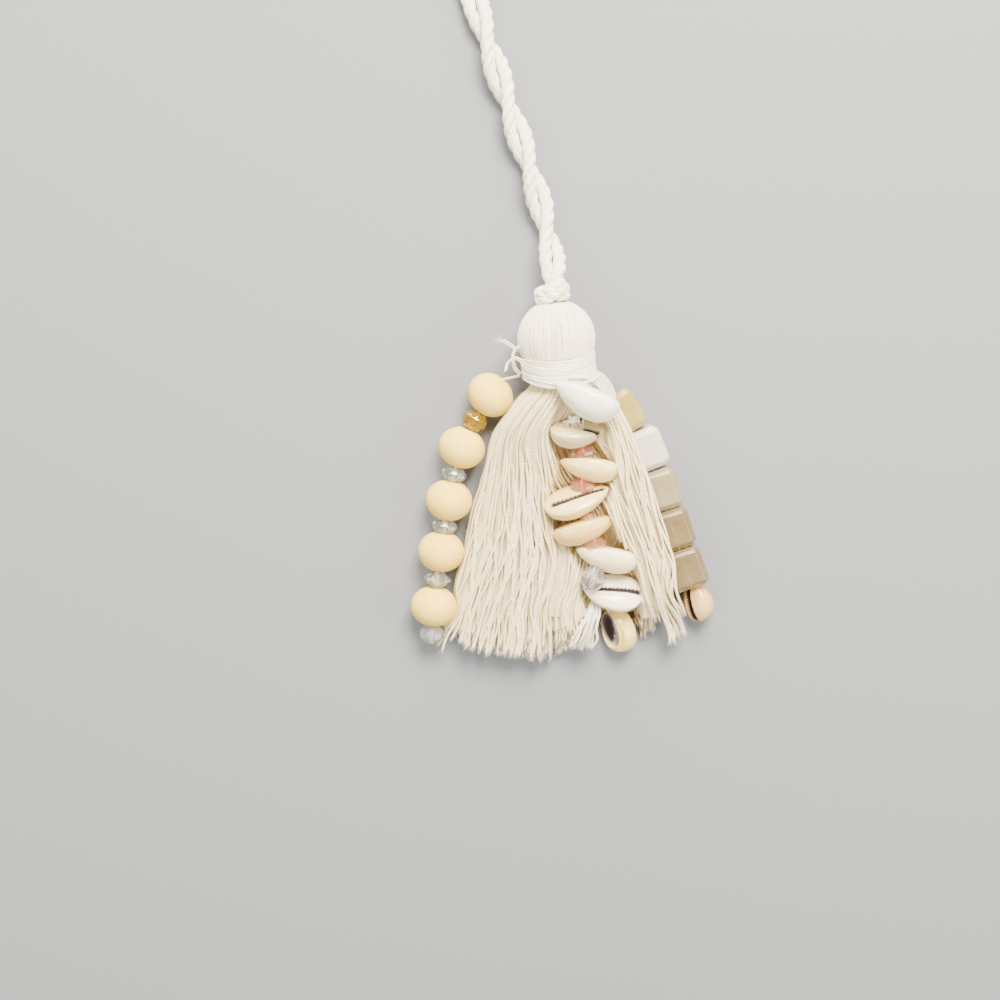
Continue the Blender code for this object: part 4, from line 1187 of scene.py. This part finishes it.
def cowrie_surface(shell):
    """Points, faces and traits of a cowrie. The slit runs along its belly, +Z, between toothed lips."""
    cut_back = shell.name == "cowrie_cut"
    segments = CUT_SEGMENTS if cut_back else SHELL_SEGMENTS
    slit_row = SLITS.get(shell.name, CLOSED_SLIT)
    along = -np.cos(np.linspace(0, math.pi, SHELL_RINGS))
    angles = np.linspace(-math.pi, math.pi, segments, endpoint=False)
    if not cut_back:
        angles = np.sign(angles) * math.pi * (np.abs(angles) / math.pi) ** 1.5
        angles = angles + math.asin(slit_row.aside) * np.cos(angles / 2) ** 2
    t, a = np.meshgrid(along, angles, indexing="ij")
    ring = np.clip(1 - t * t, 0, 1) ** (0.5 + 0.07 * (1 - t)) * (1 + EGG_SHARE * t)
    side = ring * np.sin(a)
    face = ring * np.cos(a)
    x = t * shell.length / 2
    y = side * shell.width / 2
    dome = 1 - BELLY_SHARE + 0.06 * t
    z = face * shell.height * np.where(face > 0, BELLY_SHARE, dome)
    centre = slit_row.aside * np.sqrt(np.clip(1 - t * t, 0, 1)) + slit_row.lean * t + 0.05 * np.sin(2.4 * t)
    off = side - centre
    width = slit_row.gape * (0.05 + 0.03 * (t + 1) / 2)
    near = np.clip(np.abs(off) / width, 0, 1)
    reach = smoothstep((t - slit_row.start) / 0.1 + 0.5) * smoothstep((slit_row.stop - t) / 0.1 + 0.5)
    belly = np.cos(a) > 0
    slit = (1 - near**2) * reach * belly
    lips = np.exp(-(((np.abs(off) - width - 0.09) / 0.1) ** 2)) * reach * belly
    teeth = 0.5 + 0.5 * np.cos(math.pi * TOOTH_COUNT * (t + 1) + np.sign(off) * 0.8)
    teeth = 1 - slit_row.teeth * (1 - teeth)
    z = z - SLIT_DEPTH * slit_row.gape * slit + lips * (0.1 + 0.24 * teeth * slit_row.teeth)
    z = z + (0.5 - BELLY_SHARE) * shell.height
    notch = width * (1.0 + 0.3 * (1 - teeth))
    # The slit and the gaps between its teeth, darkened to near black by the finish as painted shade.
    groove = smoothstep((notch - np.abs(off)) / (0.3 * width)) * reach * belly + 0.12 * lips * (1 - teeth)
    back = np.clip(-np.cos(a), 0, 1) * (1 - 0.3 * np.abs(t))
    hollow = np.zeros_like(back)
    shadow = np.zeros_like(back)
    if cut_back:
        plan = np.sqrt((t / 0.68) ** 2 + ((side - 0.2) / 0.64) ** 2)
        opening = (np.cos(a) < 0) * (plan < 1)
        rim = -(1 - BELLY_SHARE) * shell.height * 0.66 + (0.5 - BELLY_SHARE) * shell.height
        bowl = rim + shell.height * 0.6 * np.clip(1 - plan**3, 0, 1) ** 0.5
        worn = np.maximum(z, rim - 0.5 * smoothstep((1.25 - plan) / 0.25))
        z = np.where(opening, bowl, np.where(np.cos(a) < 0, worn, z))
        hollow = opening * smoothstep((1 - plan) * 14)
        shadow = hollow * smoothstep((side - 0.38) / 0.2)
        back = back * (1 - hollow)
    points = np.stack([x, y, z], axis=-1).reshape(-1, 3)
    i, j = np.meshgrid(np.arange(SHELL_RINGS - 1), np.arange(segments), indexing="ij")
    k = (j + 1) % segments
    faces = np.stack(
        [i * segments + j, i * segments + k, (i + 1) * segments + k, (i + 1) * segments + j], axis=-1
    )
    traits = {"groove": np.clip(groove, 0, 1), "back": back, "hollow": hollow, "shadow": shadow}
    return points, faces.reshape(-1, 4), traits


def make_cowrie(shell):
    """A cowrie in its place. Where one rests on the floor, it is flat there."""
    points, faces, traits = cowrie_surface(shell)
    turn = np.array(cowrie_matrix(shell))
    placed = (points * MM) @ turn[:3, :3].T + turn[:3, 3]
    placed[:, 2] = np.maximum(placed[:, 2], 0.0)
    mesh = bpy.data.meshes.new(shell.name)
    mesh.from_pydata(placed.tolist(), [], faces.tolist())
    for name, values in traits.items():
        attribute = mesh.attributes.new(name, "FLOAT", "POINT")
        attribute.data.foreach_set("value", values.reshape(-1).astype(np.float32))
    bm = bmesh.new()
    bm.from_mesh(mesh)
    bmesh.ops.remove_doubles(bm, verts=bm.verts, dist=0.000002)
    bmesh.ops.recalc_face_normals(bm, faces=bm.faces)
    bm.to_mesh(mesh)
    bm.free()
    mesh.shade_smooth()
    obj = new_piece(shell.name + "_shell", mesh)
    return finish_piece(obj, shell_finish(shell.name + "_finish", shell.tint), [shell.name])


# Threads, loose ends and small tassel

MIDDLE_THREAD_START = (1.5, 31.0, 24.0)
MIDDLE_THREAD_END = (14.6, -45.3, 9.0)
TIE_CENTRE = (2.0, 19.2, 21.2)
LOOSE_TAIL = ((-14.4, 38.8, 13.0), (-16.2, 39.8, 13.6), (-18.2, 41.2, 14.0), (-20.2, 42.4, 14.4))
LOOSE_LOOP_UPPER = (
    (-13.9, 38.6, 14.6),
    (-14.6, 40.2, 15.4),
    (-15.8, 40.4, 15.6),
    (-16.9, 38.6, 15.2),
    (-17.0, 36.0, 14.2),
    (-16.2, 33.4, 13.0),
    (-14.6, 31.8, 12.4),
)
LOOSE_LOOP_LOWER = (
    (-13.6, 34.6, 17.0),
    (-14.8, 36.6, 17.8),
    (-16.8, 37.2, 17.9),
    (-18.6, 35.8, 17.6),
    (-19.4, 33.2, 17.2),
)


def strung(beads):
    return [end for bead in beads for end in ends_of(bead)]


def middle_route():
    """The middle thread's way: through each crystal, and through the body of each shell between them."""
    shells = {shell.name: shell for shell in COWRIES}
    places = [(bead.y, end) for bead in MIDDLE_STRING for end in ends_of(bead)]
    for number in (1, 2, 3, 4, 5, 6):
        shell = shells[f"cowrie_{number}"]
        inside = np.interp(shell.y, [b.y for b in MIDDLE_STRING[::-1]], [b.x for b in MIDDLE_STRING[::-1]])
        places.append((shell.y, np.array((inside, shell.y, shell.z - 1.0))))
    ordered = [spot for _, spot in sorted(places, key=lambda place: -place[1][1])]
    return [MIDDLE_THREAD_START, *ordered, MIDDLE_THREAD_END]


def make_threads():
    rng = np.random.default_rng(11)
    skein = Skein()
    left = [(-14.6, 31.4, 10.8), *strung(LEFT_STRING)]
    right = [(10.95, 30.4, 9.6), *strung(RIGHT_STRING), (43.9, -43.3, 5.2)]
    for route, radius in ((left, 0.4), (middle_route(), 0.22), (right, 0.4)):
        route = np.array(route)
        dense = np.concatenate([np.linspace(a, b, 6)[:-1] for a, b in zip(route[:-1], route[1:])] + [route[-1:]])
        skein.add(dense, radius, 8, 0.8)
    tie = np.array(TIE_CENTRE)
    turns = np.linspace(0, 6 * math.pi, 60)
    rise = 0.4 * np.sin(2 * turns) + turns / 9 - 1.0
    coil = tie + np.stack([1.4 * np.cos(turns), rise, 1.2 * np.sin(turns)], axis=1)
    skein.add(coil, 0.36, 6, 0.95)
    for _ in range(9):
        toward = tie + np.array((rng.uniform(-3.0, 2.4), rng.uniform(-2.6, 0.6), rng.uniform(-0.6, 0.6)))
        line = np.linspace(tie, toward, 5)
        skein.add(line, 0.2, 5, 0.95)
        frayed_end(skein, line, rng, 5, 1.2, radius=0.06, spread=0.4)
    obj = new_piece("bead_threads", skein.mesh("bead_threads"))
    return finish_piece(obj, WHITE_COTTON, ["left_thread", "middle_thread", "right_thread"])


def make_loose_ends():
    rng = np.random.default_rng(13)
    skein = Skein()
    for route in (LOOSE_TAIL, LOOSE_LOOP_UPPER, LOOSE_LOOP_LOWER):
        for beside in ((0.0, 0.0, 0.0), (0.5, 0.45, 0.3)):
            skein.add(smooth_path(np.array(route) + beside, 40), 0.27, 8, 0.85)
    frayed_end(skein, smooth_path(LOOSE_TAIL, 12), rng, 16, 2.6, radius=0.06, spread=0.16)
    obj = new_piece("loose_ends", skein.mesh("loose_ends"))
    return finish_piece(obj, WHITE_COTTON, ["loose_tail", "loose_loop_1", "loose_loop_2"])


TUFT_YARNS = 19
TUFT_LINE = ((10.2, -40.6, 6.6), (9.2, -45.0, 10.2), (7.6, -50.0, 10.6), (6.4, -54.0, 9.4), (5.6, -57.4, 7.6))


def make_tuft():
    """The small tassel under the lowest shells: white yarns, bunched under the shell and frayed at the hem."""
    rng = np.random.default_rng(17)
    skein = Skein()
    line = np.array(TUFT_LINE)
    widths = np.array((0.8, 1.5, 2.6, 3.3, 3.9))
    heights = np.array((0.9, 1.6, 1.8, 1.8, 1.8))
    for i in range(TUFT_YARNS):
        across = (i + 0.5) / TUFT_YARNS * 2 - 1
        over = ((i * 7) % 5) / 4 * 2 - 1
        knots = line + np.stack([across * widths, 0 * widths, over * heights * math.sqrt(1 - across**2)], axis=1)
        knots[1:-1] += rng.normal(0, 0.42, (3, 3))
        knots[-1, 1] += rng.uniform(-0.7, 0.7)
        path = smooth_path(knots, 26)
        radii = np.full(26, 0.42) * rng.uniform(0.9, 1.15)
        skein.add(path, radii, 6, rng.uniform(0.3, 1.0))
        frayed_end(skein, path, rng, 6, 0.7)
    obj = new_piece("small_tassel_yarn", skein.mesh("small_tassel_yarn"))
    return finish_piece(obj, WHITE_COTTON, ["small_tassel"])


# Camera, floor and light


def make_camera():
    data = bpy.data.cameras.new("camera")
    data.lens = CAMERA_LENS
    data.sensor_width = 36.0
    data.clip_start = 0.01
    camera = bpy.data.objects.new("camera", data)
    bpy.context.scene.collection.objects.link(camera)
    tilt = math.radians(CAMERA_TILT)
    back = Vector((0.0, math.sin(tilt), math.cos(tilt)))
    camera.location = Vector(in_frame(CAMERA_AIM)) + back * CAMERA_DISTANCE * MM
    camera.rotation_euler = (-tilt, 0.0, 0.0)
    bpy.context.scene.camera = camera


def make_floor():
    bm = bmesh.new()
    bmesh.ops.create_grid(bm, x_segments=1, y_segments=1, size=3.0)
    mesh = bpy.data.meshes.new("floor")
    bm.to_mesh(mesh)
    bm.free()
    floor = new_piece("floor", mesh, Matrix.Translation((0.0, 0.0, -0.0002)))
    finish = Finish("floor_paper", roughness=0.9, specular_ior_level=0.1)
    finish.set(base_color=(0.22, 0.235, 0.26))
    mesh.materials.append(finish.material)


Light = namedtuple("Light", "name x y z size power colour")
LIGHTS = (
    Light("key", 0.12, 0.55, 0.60, 0.36, 36.0, (1.0, 0.91, 0.76)),
    Light("low_back", -0.22, 0.88, 0.22, 0.7, 21.0, (1.0, 0.92, 0.80)),
    Light("fill", -0.60, -0.30, 0.75, 0.8, 11.0, (1.0, 0.94, 0.85)),
    Light("side", 0.65, -0.10, 0.45, 0.5, 8.0, (1.0, 0.93, 0.83)),
)


def make_lights():
    for row in LIGHTS:
        data = bpy.data.lights.new(row.name, "AREA")
        data.size = row.size
        data.energy = row.power
        data.color = row.colour
        light = bpy.data.objects.new(row.name, data)
        bpy.context.scene.collection.objects.link(light)
        light.location = (row.x, row.y, row.z)
        light.rotation_euler = (-Vector((row.x, row.y, row.z))).to_track_quat("-Z", "Y").to_euler()
    world = bpy.data.worlds.new("studio")
    world.use_nodes = True
    world.node_tree.nodes["Background"].inputs["Color"].default_value = (1.0, 0.96, 0.90, 1.0)
    world.node_tree.nodes["Background"].inputs["Strength"].default_value = 0.42
    bpy.context.scene.world = world


def main():
    make_camera()
    make_cord()
    make_skirt()
    make_bed()
    ball = make_ball()
    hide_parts("head_and_skirt")
    make_binding()
    make_knot()
    for bead in LEFT_STRING:
        make_wood_bead(bead) if bead.kind == "wood" else make_crystal(bead)
    for bead in MIDDLE_STRING:
        make_crystal(bead)
    for bead in RIGHT_STRING:
        make_cube(bead)
    for shell in COWRIES:
        make_cowrie(shell)
    make_threads()
    make_loose_ends()
    make_tuft()
    make_floor()
    make_lights()


main()
